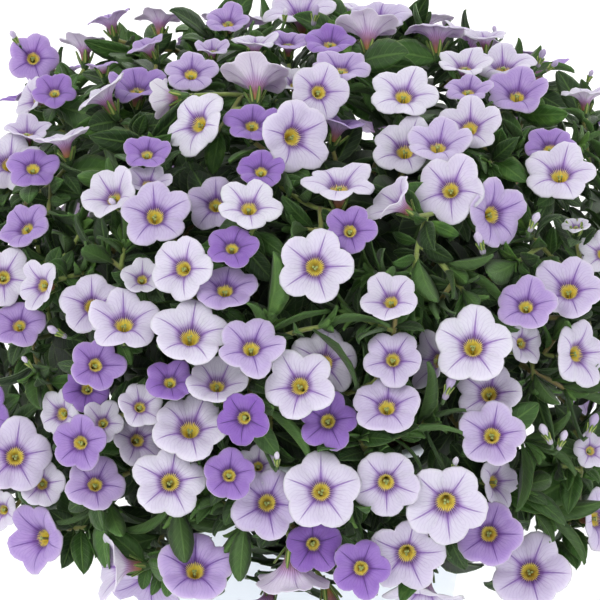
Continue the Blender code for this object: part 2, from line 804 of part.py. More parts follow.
def drop_crowded(stems, blooms, tufts):
    """Keeps what stands clear of every other stem's pieces in its full shape, blooms before leafy tips."""
    held = []
    for number, stem in enumerate(stems):
        held.append((number, solid_of(tube_shape(stem["path"], stem["radii"], 4))))
    kept = []
    for piece in sorted(blooms, key=lambda b: not b["seen"]) + tufts:
        shape = bloom_shape(piece) if "radius" in piece else tuft_shape(piece)
        solid = solid_of(shape)
        if any(number != piece["stem"] and too_near(solid, other) for number, other in held):
            continue
        held.append((piece["stem"], solid))
        kept.append(piece)
    return [p for p in kept if "radius" in p], [p for p in kept if "radius" not in p]


def solid_of(shape):
    points, faces = shape
    low = [min(p[i] for p in points) - LEAST_GAP for i in range(3)]
    high = [max(p[i] for p in points) for i in range(3)]
    tree = BVHTree.FromPolygons([tuple(p) for p in points], faces)
    return {"points": points, "tree": tree, "low": low, "high": high}


def too_near(one, other):
    if any(one["low"][i] > other["high"][i] or other["low"][i] > one["high"][i] for i in range(3)):
        return False
    if one["tree"].overlap(other["tree"]):
        return True
    for a, b in ((one, other), (other, one)):
        if any(a["tree"].find_nearest(p, LEAST_GAP)[0] is not None for p in b["points"]):
            return True
    return False


def lay_out():
    """Every stem, bloom and leafy tip of the plant, in its place."""
    rng = random.Random(SEED)
    room = Room()
    stems = main_stems()
    for number, stem in enumerate(stems):
        room.add(tube_shape(stem["path"], stem["radii"], 4), number, "stem")
    blooms = photo_blooms(room, rng)
    blooms += far_blooms(room, rng, blooms)
    forks = stem_forks(stems)
    blooms = connect_blooms(forks, room, blooms)
    tufts = grow_tufts(forks, room, rng)
    blooms, tufts = drop_crowded(stems, blooms, tufts)
    return stems, blooms, tufts


# Objects
def clear_scene():
    for obj in list(bpy.data.objects):
        bpy.data.objects.remove(obj, do_unlink=True)


def material(name, colour, roughness):
    made = bpy.data.materials.new(name)
    made.use_nodes = True
    shader = made.node_tree.nodes["Principled BSDF"]
    shader.inputs["Base Color"].default_value = (*colour, 1)
    shader.inputs["Roughness"].default_value = roughness
    shader.inputs["Metallic"].default_value = 0
    return made


def collection(name):
    made = bpy.data.collections.new(name)
    bpy.context.scene.collection.children.link(made)
    return made


def mesh_object(name, shape, home):
    points, faces = shape
    mesh = bpy.data.meshes.new(name)
    mesh.from_pydata([tuple(p) for p in points], [], faces)
    shaped = bmesh.new()
    shaped.from_mesh(mesh)
    bmesh.ops.recalc_face_normals(shaped, faces=shaped.faces)
    shaped.to_mesh(mesh)
    shaped.free()
    made = bpy.data.objects.new(name, mesh)
    home.objects.link(made)
    return made


def boolean(target, operation, group, solver="EXACT"):
    modifier = target.modifiers.new(operation.title(), "BOOLEAN")
    modifier.operation = operation
    modifier.solver = solver
    modifier.operand_type = "COLLECTION"
    modifier.collection = group


def apply_modifiers(obj):
    graph = bpy.context.evaluated_depsgraph_get()
    mesh = bpy.data.meshes.new_from_object(obj.evaluated_get(graph))
    obj.modifiers.clear()
    obj.data = mesh


def largest_body(shaped):
    """Drops any loose scrap that the union leaves."""
    bodies = []
    left = set(shaped.verts)
    while left:
        body = set()
        edge = [left.pop()]
        while edge:
            vert = edge.pop()
            body.add(vert)
            for link in vert.link_edges:
                other = link.other_vert(vert)
                if other in left:
                    left.discard(other)
                    edge.append(other)
        bodies.append(body)
    bodies.sort(key=len, reverse=True)
    for body in bodies[1:]:
        bmesh.ops.delete(shaped, geom=list(body), context="VERTS")


def is_closed(shaped):
    """Whether each edge still joins two faces when points are rounded to a micrometre."""
    uses = {}
    for face in shaped.faces:
        corners = [tuple(round(c / MM, 3) for c in vert.co) for vert in face.verts]
        if len(set(corners)) < 3:
            continue
        for i, corner in enumerate(corners):
            edge = frozenset((corner, corners[(i + 1) % len(corners)]))
            if len(edge) == 2:
                uses[edge] = uses.get(edge, 0) + 1
    return all(count == 2 for count in uses.values())


def crosses_itself(shaped):
    """Whether two faces that share no point meet."""
    shaped.faces.ensure_lookup_table()
    tree = BVHTree.FromBMesh(shaped)
    for one, other in tree.overlap(tree):
        if one < other and not set(shaped.faces[one].verts) & set(shaped.faces[other].verts):
            return True
    return False


def tidy_union(obj):
    """Merges the slivers of a union, by the coarsest tolerance that leaves it closed and clear of itself."""
    for flatten, merge in TIDY_STEPS:
        shaped = bmesh.new()
        shaped.from_mesh(obj.data)
        if merge:
            bmesh.ops.remove_doubles(shaped, verts=shaped.verts, dist=merge * MM / 1000)
        if flatten:
            bmesh.ops.dissolve_limit(
                shaped, angle_limit=math.radians(flatten), verts=shaped.verts, edges=shaped.edges
            )
        bmesh.ops.triangulate(shaped, faces=shaped.faces)
        if merge:
            bmesh.ops.dissolve_degenerate(shaped, edges=shaped.edges, dist=merge * MM / 1000)
            bmesh.ops.triangulate(shaped, faces=shaped.faces)
        largest_body(shaped)
        sound = is_closed(shaped) and not (merge > 5 and crosses_itself(shaped))
        if sound:
            shaped.to_mesh(obj.data)
        shaped.free()
        if sound:
            return True
    return False


def turned(name, profile, steps, home):
    """A profile in the XZ plane, turned about the Z axis."""
    mesh = bpy.data.meshes.new(name)
    edges = [(i, i + 1) for i in range(len(profile) - 1)]
    mesh.from_pydata([(r, 0, z) for r, z in profile], edges, [])
    made = bpy.data.objects.new(name, mesh)
    home.objects.link(made)
    screw = made.modifiers.new("Turn", "SCREW")
    screw.steps = steps
    screw.render_steps = steps
    screw.use_merge_vertices = True
    screw.merge_threshold = 0.0001
    screw.use_normal_calculate = True
    return made


def cylinder(name, radius, depth, place, sides, home):
    shaped = bmesh.new()
    bmesh.ops.create_cone(
        shaped, cap_ends=True, segments=sides, radius1=radius, radius2=radius, depth=depth
    )
    mesh = bpy.data.meshes.new(name)
    shaped.to_mesh(mesh)
    shaped.free()
    made = bpy.data.objects.new(name, mesh)
    made.location = place
    made.hide_render = True
    made.display_type = "WIRE"
    home.objects.link(made)
    return made


def pot_inner_radius(height):
    slope = (POT_RIM_RADIUS - POT_BASE_RADIUS) / POT_HEIGHT
    return POT_BASE_RADIUS + slope * height - POT_WALL


def make_pot(home, cutters):
    chamfer = 1.5 * MM
    profile = (
        (0, POT_FLOOR),
        (pot_inner_radius(POT_FLOOR), POT_FLOOR),
        (pot_inner_radius(POT_HEIGHT), POT_HEIGHT),
        (POT_RIM_RADIUS + POT_LIP, POT_HEIGHT),
        (POT_RIM_RADIUS + POT_LIP, POT_HEIGHT - 4 * MM),
        (POT_RIM_RADIUS - 0.5 * MM, POT_HEIGHT - 5 * MM),
        (POT_BASE_RADIUS + 0.2 * MM, chamfer),
        (POT_BASE_RADIUS - chamfer, 0),
        (0, 0),
    )
    pot = turned("pot", profile, POT_SIDES, home)
    pot.data.materials.append(material("pot plastic", (0.75, 0.79, 0.84), 0.35))
    holes = collection("drain holes")
    cutters.children.link(holes)
    bpy.context.scene.collection.children.unlink(holes)
    for i in range(DRAIN_HOLES):
        turn = 2 * math.pi * i / DRAIN_HOLES + 0.3
        place = (DRAIN_CIRCLE * math.cos(turn), DRAIN_CIRCLE * math.sin(turn), 0)
        cylinder(f"drain_hole_{i + 1}", DRAIN_RADIUS, 4 * POT_FLOOR, place, 10, holes)
    boolean(pot, "DIFFERENCE", holes)
    return pot


def make_soil(home, cutters, stems):
    low = POT_FLOOR + 0.5 * MM
    inset = SOIL_GAP
    profile = (
        (0, SOIL_TOP),
        (pot_inner_radius(SOIL_TOP) - inset - 0.2 * MM, SOIL_TOP),
        (pot_inner_radius(low) - inset - 0.2 * MM, low),
        (0, low),
    )
    soil = turned("soil", profile, POT_SIDES, home)
    soil.data.materials.append(material("potting soil", (0.085, 0.045, 0.025), 0.95))
    holes = collection("stem holes")
    cutters.children.link(holes)
    bpy.context.scene.collection.children.unlink(holes)
    for i, stem in enumerate(stems):
        foot = stem["path"][0]
        middle = (foot.x, foot.y, SOIL_TOP)
        radius = STEM_RADIUS * 1.25 + HOLE_GAP
        cylinder(f"stem_hole_{i + 1}", radius, 2 * HOLE_DEPTH, middle, 5, holes)
    boolean(soil, "DIFFERENCE", holes)
    return soil


def make_leafy_stem(number, stem, shapes, home, looks):
    """One main stem with its shoots, blooms and leaves, joined by a single union."""
    name = f"leafy_stem_{number + 1:02d}"
    made = mesh_object(name, tube_shape(stem["path"], stem["radii"], 4), home)
    made.data.materials.append(looks)
    plain = made.data.copy()
    pieces = collection(f"pieces of {name}")
    for i, shape in enumerate(shapes):
        mesh_object(f"{name}_piece_{i}", shape, pieces)
    for solver in ("EXACT", "MANIFOLD"):
        made.data = plain.copy()
        boolean(made, "UNION", pieces, solver)
        apply_modifiers(made)
        if tidy_union(made):
            break
    else:
        print(f"{name} is left open")
    for obj in list(pieces.objects):
        bpy.data.objects.remove(obj, do_unlink=True)
    bpy.data.collections.remove(pieces)
    return made


def main():
    clear_scene()
    plant = collection("calibrachoa")
    cutters = collection("cutters")
    stems, blooms, tufts = lay_out()
    grown = []
    for number, stem in enumerate(stems):
        shapes = [bloom_shape(bloom) for bloom in blooms if bloom["stem"] == number]
        shapes += [tuft_shape(tuft) for tuft in tufts if tuft["stem"] == number]
        if shapes:
            grown.append((stem, shapes))
    make_pot(plant, cutters)
    make_soil(plant, cutters, [stem for stem, _ in grown])
    looks = material("leaf and petal", (0.40, 0.34, 0.55), 0.6)
    for number, (stem, shapes) in enumerate(grown):
        make_leafy_stem(number, stem, shapes, plant, looks)
    leaves = sum(len(tuft["leaves"]) for tuft in tufts)
    print(f"{len(blooms)} blooms, {len(tufts)} leafy tips, {leaves} leaves")


main()
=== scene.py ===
"""Looks of a potted calibrachoa in full flower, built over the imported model, in metres, +Z up."""

import json
import math
import random

import bpy
import numpy as np
from mathutils import Matrix, Quaternion, Vector, noise
from mathutils.bvhtree import BVHTree

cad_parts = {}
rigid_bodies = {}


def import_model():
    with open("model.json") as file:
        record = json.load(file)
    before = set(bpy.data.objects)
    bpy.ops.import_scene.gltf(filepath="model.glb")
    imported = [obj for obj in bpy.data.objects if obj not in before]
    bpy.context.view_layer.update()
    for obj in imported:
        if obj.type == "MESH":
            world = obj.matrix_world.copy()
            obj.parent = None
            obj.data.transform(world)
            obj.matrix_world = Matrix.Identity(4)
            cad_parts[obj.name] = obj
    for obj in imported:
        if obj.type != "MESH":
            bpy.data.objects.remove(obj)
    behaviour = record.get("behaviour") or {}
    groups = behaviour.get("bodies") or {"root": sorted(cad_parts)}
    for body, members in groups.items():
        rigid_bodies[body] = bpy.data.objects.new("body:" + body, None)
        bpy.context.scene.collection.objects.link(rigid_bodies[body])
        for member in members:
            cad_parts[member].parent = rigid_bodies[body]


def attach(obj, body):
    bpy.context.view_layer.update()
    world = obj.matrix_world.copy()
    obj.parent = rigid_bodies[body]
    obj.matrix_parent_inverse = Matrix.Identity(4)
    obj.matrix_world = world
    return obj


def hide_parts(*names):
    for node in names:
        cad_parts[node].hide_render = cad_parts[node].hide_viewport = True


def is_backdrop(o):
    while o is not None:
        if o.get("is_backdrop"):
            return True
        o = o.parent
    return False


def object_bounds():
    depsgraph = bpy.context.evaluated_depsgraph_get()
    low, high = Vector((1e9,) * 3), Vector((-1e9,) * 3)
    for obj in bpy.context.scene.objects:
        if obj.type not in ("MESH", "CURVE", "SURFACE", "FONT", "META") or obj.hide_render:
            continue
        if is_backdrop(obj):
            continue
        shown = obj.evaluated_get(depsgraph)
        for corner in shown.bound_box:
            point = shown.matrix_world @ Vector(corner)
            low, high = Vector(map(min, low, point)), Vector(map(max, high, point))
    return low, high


MM = 0.001
SEED = 41

# Pot
POT_HEIGHT = 140 * MM
POT_RIM_RADIUS = 78.5 * MM
POT_BASE_RADIUS = 62.5 * MM
POT_WALL = 2.4 * MM
POT_FLOOR = 3.0 * MM
POT_LIP = 1.2 * MM
DRAIN_HOLES = 5
DRAIN_RADIUS = 4.5 * MM
DRAIN_CIRCLE = 42 * MM

# Soil
SOIL_TOP = 131 * MM
SOIL_GAP = 0.4 * MM
HOLE_DEPTH = 22 * MM

# Mound of stems and blooms
MOUND_RADIUS = 165 * MM
MOUND_MIDDLE = 150 * MM
MOUND_RISE = 140 * MM
MOUND_FALL = 66 * MM
MOUND_POWER = 2.5
MOUND_FOOT = 100 * MM
STEM_RADIUS = 2.1 * MM
STEM_DEPTH = 40 * MM
STEM_RINGS = ((1, 0.0), (6, 34.0), (9, 64.0), (12, 93.0))
SHOOT_RADIUS = 0.95 * MM
FAR_BLOOMS = 66
LEAST_GAP = 0.32 * MM

# The view that the picture is taken from, in its frame of 600 by 600 pixels
VIEW_TILT = math.radians(26.0)
VIEW_DISTANCE = 1.0
VIEW_FOCAL = 2357.0
VIEW_SIZE = 600.0
RIM_CENTRE_X = 304.0
RIM_CENTRE_Y = 373.0

# Blooms as read: middle x, middle y, width, pitch up, yaw right, lean right, tint, layer from the front
BLOOMS = (
    (33, 57, 54, 12, 0, 0, 0.60, 0), (85, 41, 52, 100, 0, 0, 0.15, 0), (54, 89, 46, 40, -5, 0, 0.85, 0),
    (28, 98, 50, 10, -60, 0, 0.10, 1), (108, 14, 50, 82, 0, -16, 0.65, 0), (160, 14, 52, 95, 0, 0, 0.15, 0),
    (145, 42, 44, 80, 0, -30, 0.60, 0), (102, 62, 34, 85, 0, -10, 0.75, 0), (99, 90, 62, 84, 0, -33, 0.10, 0),
    (137, 82, 62, 60, 0, 0, 0.75, 0), (212, 46, 38, 62, 0, 0, 0.45, 0), (191, 70, 58, 40, 0, 0, 0.50, 0),
    (163, 98, 45, -5, -108, 0, 0.10, 1), (193, 121, 73, 20, -38, 0, 0.03, 0),
    (252, 120, 58, 42, 0, 0, 0.85, 0), (228, 17, 47, 50, 0, 0, 0.60, 0), (255, 38, 48, 70, 0, 0, 0.20, 0),
    (288, 38, 48, 60, 0, 0, 0.65, 0), (287, 58, 50, 58, 0, 0, 1.00, 1), (330, 37, 55, 55, 0, 0, 0.85, 0),
    (341, 63, 60, 55, 0, 0, 0.50, 0), (368, 25, 66, 108, 0, 0, 0.15, 0), (437, 25, 66, 94, 0, 0, 0.35, 0),
    (485, 33, 44, 74, 0, 0, 0.20, 0), (465, 60, 58, 58, 0, 0, 0.05, 0), (503, 58, 68, 62, 0, 0, 0.10, 0),
    (468, 85, 52, 55, 0, 0, 0.55, 0), (517, 88, 64, 45, 0, 0, 0.60, 0), (405, 90, 72, 38, 8, 0, 0.05, 0),
    (405, 145, 72, 38, 0, 0, 0.07, 1), (438, 139, 67, 48, 0, 0, 0.35, 0), (470, 124, 66, 30, 0, 0, 0.10, 1),
    (550, 144, 54, 40, 0, 0, 0.75, 1), (560, 169, 76, 42, 0, 0, 0.06, 0), (585, 90, 50, 80, 0, 0, 0.12, 0),
    (27, 127, 50, 60, 0, 0, 0.25, 1), (10, 160, 70, 35, 0, 0, 0.05, 1), (33, 165, 55, 35, 0, 0, 0.75, 0),
    (62, 134, 58, 84, 0, -14, 0.12, 0), (22, 223, 58, 35, -35, 0, 0.65, 0),
    (109, 192, 62, 35, -30, 0, 0.10, 0), (148, 181, 50, 40, 0, 0, 0.25, 1), (155, 212, 74, 25, 0, 0, 0.35, 0),
    (3, 276, 62, 10, 0, 0, 0.08, 0), (38, 285, 55, 5, -38, 0, 0.10, 0), (92, 303, 66, 20, 0, 0, 0.15, 1),
    (142, 277, 45, 30, 0, 0, 0.10, 2), (180, 267, 68, 10, -20, 0, 0.10, 0), (147, 150, 50, 42, 0, 0, 0.80, 0),
    (210, 175, 58, 35, 0, 0, 0.08, 1), (216, 202, 62, 25, 0, 0, 0.35, 1), (249, 203, 68, 38, 0, 0, 0.03, 0),
    (261, 168, 52, 38, 0, 0, 0.90, 0), (298, 136, 78, 5, 30, 0, 0.12, 0), (320, 90, 62, 15, 10, 0, 0.12, 0),
    (340, 119, 57, 78, 0, 15, 0.75, 0), (256, 73, 72, 112, 0, 0, 0.12, 0), (295, 78, 45, 50, 0, 0, 0.10, 1),
    (232, 244, 55, 35, 0, 0, 0.85, 0), (225, 285, 68, 42, 0, 0, 0.55, 0), (315, 266, 80, 5, 0, 0, 0.12, 0),
    (350, 229, 56, 18, 0, 0, 0.75, 0), (339, 177, 77, 60, 0, 0, 0.10, 0), (390, 198, 62, 35, -72, 0, 0.15, 0),
    (449, 187, 73, 22, -10, 0, 0.10, 0), (498, 214, 73, 5, 38, 0, 0.50, 0),
    (389, 297, 60, 35, -15, 0, 0.12, 0), (526, 303, 63, 32, 0, 0, 0.60, 0), (569, 287, 74, 28, 0, 0, 0.30, 0),
    (603, 252, 50, 20, 0, 0, 0.08, 1), (576, 223, 30, 60, 0, 0, 0.10, 1), (18, 322, 56, 30, -10, 0, 0.65, 1),
    (124, 318, 78, 40, 0, 0, 0.12, 0), (190, 331, 82, 34, 0, 0, 0.08, 0), (251, 344, 72, 34, 0, 0, 0.40, 0),
    (97, 364, 58, 10, 12, 0, 0.75, 0), (86, 388, 50, 10, -10, 0, 0.85, 2), (62, 368, 56, 15, -20, 0, 0.08, 1),
    (58, 414, 56, 0, -35, 0, 0.08, 2), (125, 380, 64, 20, -20, 0, 0.08, 0),
    (141, 405, 50, 20, 10, 0, 0.12, 2), (170, 379, 54, 35, 0, 0, 0.88, 1), (217, 380, 66, 42, 0, 0, 0.08, 1),
    (298, 384, 76, 12, -10, 0, 0.10, 0), (473, 344, 83, 18, 0, 0, 0.06, 0), (393, 357, 62, 20, 0, 0, 0.30, 1),
    (326, 360, 70, 15, 8, 0, 0.08, 1), (428, 360, 60, 5, -55, 0, 0.12, 1), (387, 403, 72, 32, 0, 0, 0.30, 0),
    (489, 392, 70, 15, 0, 0, 0.10, 2), (492, 434, 72, 12, 0, 0, 0.40, 0), (583, 353, 70, 5, 42, 0, 0.08, 0),
    (526, 342, 50, 10, 40, 0, 0.10, 2), (190, 424, 82, 32, 0, 0, 0.08, 1), (15, 456, 78, 5, 0, 0, 0.18, 0),
    (242, 418, 57, 0, -15, 0, 0.92, 0), (78, 442, 60, 5, -15, 0, 0.70, 0),
    (107, 447, 50, 10, -25, 0, 0.85, 1), (95, 482, 62, 20, 0, 0, 0.50, 1), (170, 481, 78, 8, 0, 0, 0.07, 0),
    (229, 474, 56, 10, 0, 0, 0.82, 0), (267, 503, 76, 0, 0, 0, 0.35, 1), (33, 538, 72, 0, -44, 0, 0.60, 0),
    (112, 566, 72, 0, -62, 0, 0.10, 0), (195, 566, 80, 30, 0, 0, 0.50, 0), (42, 484, 50, 0, 0, 0, 0.15, 2),
    (103, 421, 45, 20, 0, 0, 0.10, 2), (140, 439, 58, 10, 20, 0, 0.20, 2), (258, 464, 46, 20, 0, 0, 0.08, 2),
    (0, 510, 44, 0, -30, 0, 0.10, 1), (328, 420, 62, 8, 0, 0, 0.85, 1), (321, 490, 80, 8, 0, 0, 0.08, 0),
    (386, 484, 72, -12, 0, 0, 0.15, 1), (446, 505, 86, -14, 0, 0, 0.07, 0), (313, 545, 58, -8, 0, 0, 0.90, 1),
    (361, 568, 63, 0, 0, 0, 0.80, 0), (291, 580, 80, -112, 0, 0, 0.12, 1), (407, 556, 78, -15, 0, 0, 0.15, 1),
    (489, 534, 69, 0, 0, 0, 0.60, 1), (530, 571, 80, 5, 0, 0, 0.15, 1), (502, 482, 56, 0, 48, 0, 0.15, 2),
    (604, 519, 66, 0, 50, 0, 0.30, 1), (592, 450, 40, 10, 20, 0, 0.20, 1),
)  # fmt: skip

# Leafy tips between the blooms, as read: x, y
TUFTS = (
    (345, 8), (28, 200), (62, 218), (92, 245), (68, 262), (110, 232), (140, 120), (106, 160),
    (425, 252), (418, 288), (462, 256), (480, 286), (450, 296), (380, 262), (548, 218), (590, 205),
    (500, 140), (535, 128), (535, 250), (592, 128), (300, 210), (555, 385), (590, 395), (548, 452),
    (578, 476), (535, 500), (560, 530), (590, 545), (236, 545), (14, 372), (30, 398), (262, 322),
    (322, 322), (360, 310), (410, 325), (90, 520), (70, 545), (165, 525), (125, 515), (205, 515),
    (365, 448), (410, 445), (436, 430), (268, 412), (352, 520), (450, 555), (22, 250),
)  # fmt: skip
FAR_TUFTS = 14
TIP_STEP = 4 * MM


# Geometry of the view and of the mound
def view_axes():
    right = Vector((1, 0, 0))
    up = Vector((0, math.sin(VIEW_TILT), math.cos(VIEW_TILT)))
    ahead = Vector((0, math.cos(VIEW_TILT), -math.sin(VIEW_TILT)))
    return right, up, ahead


def view_point():
    right, up, ahead = view_axes()
    scale = VIEW_DISTANCE / VIEW_FOCAL
    aim = Vector((0, 0, POT_HEIGHT))
    aim += up * (RIM_CENTRE_Y - VIEW_SIZE / 2) * scale
    aim -= right * (RIM_CENTRE_X - VIEW_SIZE / 2) * scale
    return aim - ahead * VIEW_DISTANCE


def view_ray(x, y):
    right, up, ahead = view_axes()
    ray = ahead + right * ((x - VIEW_SIZE / 2) / VIEW_FOCAL) - up * ((y - VIEW_SIZE / 2) / VIEW_FOCAL)
    return ray.normalized()


def in_view(point):
    """The pixel that a point falls on."""
    right, up, ahead = view_axes()
    offset = point - view_point()
    depth = offset.dot(ahead)
    x = VIEW_SIZE / 2 + VIEW_FOCAL * offset.dot(right) / depth
    y = VIEW_SIZE / 2 - VIEW_FOCAL * offset.dot(up) / depth
    return x, y


def mound_level(point):
    """1 on the mound's surface, less inside it."""
    across = math.hypot(point.x, point.y) / MOUND_RADIUS
    height = point.z - MOUND_MIDDLE
    height /= MOUND_RISE if height > 0 else -MOUND_FALL
    return (across**MOUND_POWER + height**MOUND_POWER) ** (1 / MOUND_POWER)


def mound_normal(point):
    step = 0.5 * MM
    slope = []
    for axis in range(3):
        ahead = point.copy()
        behind = point.copy()
        ahead[axis] += step
        behind[axis] -= step
        slope.append(mound_level(ahead) - mound_level(behind))
    return Vector(slope).normalized()


def mound_hit(x, y):
    """Where the ray through a pixel meets the mound, or passes nearest to it."""
    start = view_point()
    ray = view_ray(x, y)
    nearest = None
    for step in range(240):
        point = start + ray * (VIEW_DISTANCE * 0.7 + step * 2 * MM)
        level = mound_level(point)
        if nearest is None or level < nearest[0]:
            nearest = (level, point)
        if level <= 1:
            return point
    return nearest[1]


def mound_point(turn, polar):
    """The surface point seen from the mound's middle at these angles."""
    middle = Vector((0, 0, MOUND_MIDDLE - 12 * MM))
    way = Vector((math.cos(turn) * math.sin(polar), math.sin(turn) * math.sin(polar), math.cos(polar)))
    low = 0.0
    high = 0.4
    for _ in range(30):
        half = (low + high) / 2
        if mound_level(middle + way * half) < 1:
            low = half
        else:
            high = half
    return middle + way * low


def square_to(ahead, wish):
    """The direction nearest to a wish that is square to ahead."""
    return (wish - ahead * wish.dot(ahead)).normalized()


def random_vector(rng, reach):
    return Vector([rng.uniform(-reach, reach) for _ in range(3)])


# Shapes, as lists of points and triangles
def frames_along(points):
    """A side and an upper direction at each point of a path, without twist."""
    tangents = []
    for i in range(len(points)):
        before = points[max(i - 1, 0)]
        after = points[min(i + 1, len(points) - 1)]
        tangents.append((after - before).normalized())
    side = tangents[0].orthogonal().normalized()
    frames = []
    for tangent in tangents:
        side = square_to(tangent, side)
        frames.append((side, tangent.cross(side)))
    return frames


def ring_at(middle, frame, radius, sides):
    side, upper = frame
    turns = [2 * math.pi * i / sides for i in range(sides)]
    return [middle + side * math.cos(a) * radius + upper * math.sin(a) * radius for a in turns]


def join_rings(faces, start_a, count_a, start_b, count_b):
    """Triangles between two rings that turn the same way, with unlike counts of points."""
    a = 0
    b = 0
    while a < count_a or b < count_b:
        step_a = (a + 1) / count_a
        step_b = (b + 1) / count_b
        at_a = start_a + a % count_a
        at_b = start_b + b % count_b
        if b >= count_b or (a < count_a and step_a <= step_b):
            faces.append((at_a, start_a + (a + 1) % count_a, at_b))
            a += 1
        else:
            faces.append((at_a, start_b + (b + 1) % count_b, at_b))
            b += 1


def tube_shape(points, radii, sides):
    rings = []
    faces = []
    for point, frame, radius in zip(points, frames_along(points), radii):
        rings.extend(ring_at(point, frame, radius, sides))
    for i in range(len(points) - 1):
        join_rings(faces, i * sides, sides, (i + 1) * sides, sides)
    last = (len(points) - 1) * sides
    for i in range(1, sides - 1):
        faces.append((0, i + 1, i))
        faces.append((last, last + i, last + i + 1))
    return rings, faces


def bloom_axes(bloom):
    facing = bloom["facing"]
    side = Vector((0, 0, 1)).cross(facing)
    if side.length < 0.05:
        side = Vector((1, 0, 0)).cross(facing)
    side.normalize()
    turn = Quaternion(facing, bloom["roll"])
    side = turn @ side
    return side, facing.cross(side), facing


def rim_points(bloom, grow=0.0):
    """Five broad lobes with a shallow notch between each two."""
    side, upper, facing = bloom_axes(bloom)
    radius = bloom["radius"] + grow
    points = []
    for lobe in range(5):
        for offset, reach, drop in ((0, 1.02, 0.07), (36, 0.88, 0.0)):
            angle = math.radians(72 * lobe + offset)
            spread = side * math.cos(angle) + upper * math.sin(angle)
            points.append(bloom["middle"] + spread * radius * reach - facing * bloom["radius"] * drop)
    return points


def bloom_foot(bloom, share=1.0):
    """A point on the corolla's axis, from the rim (0) back to the calyx (1)."""
    return bloom["middle"] - bloom["facing"] * bloom["radius"] * 1.05 * share


def trumpet_shape(bloom, grow=0.0):
    """The corolla alone, for finding room."""
    points = rim_points(bloom, grow)
    faces = []
    count = len(points)
    neck = [bloom_foot(bloom, 0.34), bloom_foot(bloom, 1.0)]
    side, upper, facing = bloom_axes(bloom)
    for middle, radius in zip(neck, (0.17, 0.10)):
        points.extend(ring_at(middle, (upper, side), bloom["radius"] * radius + grow / 2, 3))
    front = len(points)
    points.append(bloom["middle"] - facing * (bloom["radius"] * 0.13 - grow))
    for i in range(count):
        faces.append((front, i, (i + 1) % count))
    for i in range(count):
        faces.append((i, count + i * 3 // count, (i + 1) % count))
    join_rings(faces, count, 3, count + 3, 3)
    faces.append((count + 3, count + 4, count + 5))
    return points, faces


def bloom_shape(bloom):
    """Side shoot, calyx, tube and flared face as one loft."""
    path = list(bloom["shoot"])
    radii = [SHOOT_RADIUS * 1.25] + [SHOOT_RADIUS] * (len(path) - 2) + [bloom["radius"] * 0.10]
    path.append(bloom_foot(bloom, 0.34))
    radii.append(bloom["radius"] * 0.17)
    frames = frames_along(path)
    points = []
    faces = []
    for point, frame, radius in zip(path, frames, radii):
        points.extend(ring_at(point, frame, radius, 3))
    for i in range(len(path) - 1):
        join_rings(faces, i * 3, 3, (i + 1) * 3, 3)
    faces.append((0, 2, 1))
    neck = len(points) - 3
    side = frames[-1][0]
    upper = frames[-1][1]
    rim = rim_points(bloom)
    start = min(range(len(rim)), key=lambda i: -(rim[i] - bloom["middle"]).dot(side))
    rim = rim[start:] + rim[:start]
    if (rim[1] - rim[0]).dot(upper) < 0:
        rim = [rim[0]] + rim[:0:-1]
    first = len(points)
    points.extend(rim)
    join_rings(faces, neck, 3, first, len(rim))
    throat = len(points)
    points.append(bloom["middle"] - bloom["facing"] * bloom["radius"] * 0.13)
    for i in range(len(rim)):
        faces.append((throat, first + i, first + (i + 1) % len(rim)))
    return points, faces


def leaf_sections(leaf, grow=0.0):
    """Two sections of a narrow blade with a ridge on top, and its point."""
    ahead = leaf["ahead"]
    upper = leaf["upper"]
    side = ahead.cross(upper)
    length = leaf["length"]
    width = leaf["width"] + grow
    points = []
    for along, half, ridge, lift in ((0.38, 0.5, 1.0, 0.05), (0.70, 0.40, 0.8, 0.04)):
        spine = leaf["base"] + ahead * length * along + upper * length * lift
        points.append(spine + side * width * half)
        points.append(spine - side * width * half)
        points.append(spine + upper * (ridge * MM + grow))
    points.append(leaf["base"] + ahead * (length + grow) - upper * length * 0.05)
    return points


def add_leaf(points, faces, root, leaf, grow=0.0):
    """Grows a blade out of a triangle of three points: left, right and upper."""
    first = len(points)
    points.extend(leaf_sections(leaf, grow))
    loops = [root, (first, first + 1, first + 2), (first + 3, first + 4, first + 5)]
    for low, high in zip(loops, loops[1:]):
        for i in range(3):
            j = (i + 1) % 3
            faces.append((low[i], low[j], high[i]))
            faces.append((low[j], high[j], high[i]))
    for i in range(3):
        faces.append((loops[2][i], loops[2][(i + 1) % 3], first + 6))


def leaf_shape(leaf, grow=0.0):
    """The blade past its foot, for finding room."""
    points = []
    faces = [(0, 2, 1)]
    side = leaf["ahead"].cross(leaf["upper"])
    foot = leaf["base"] + leaf["ahead"] * leaf["length"] * 0.16
    points.append(foot + side * leaf["width"] * 0.25)
    points.append(foot - side * leaf["width"] * 0.25)
    points.append(foot + leaf["upper"] * (0.9 * MM + grow))
    add_leaf(points, faces, (0, 1, 2), leaf, grow)
    return points, faces


def tuft_path(path):
    """A shoot's path with a short last step for its leaves to grow from."""
    along = (path[-1] - path[-2]).normalized()
    return path[:-1] + [path[-1] - along * TIP_STEP, path[-1]]


def tuft_shape(tuft):
    """A side shoot whose last step and end carry leaves."""
    path = tuft_path(tuft["shoot"])
    radii = [SHOOT_RADIUS * 1.2] + [SHOOT_RADIUS] * (len(path) - 1)
    points, faces = tube_shape(path, radii, 3)
    last = (len(path) - 1) * 3
    for leaf in tuft["leaves"]:
        k = leaf["slot"]
        if k == 3:
            root = (last, last + 1, last + 2)
        else:
            root = (last - 3 + k, last - 3 + (k + 1) % 3, last + k)
        faces.remove(next(face for face in faces if set(face) == set(root)))
        top = max(range(3), key=lambda i: points[root[i]].dot(leaf["upper"]))
        add_leaf(points, faces, root[top + 1 :] + root[: top + 1], leaf)
    return points, faces


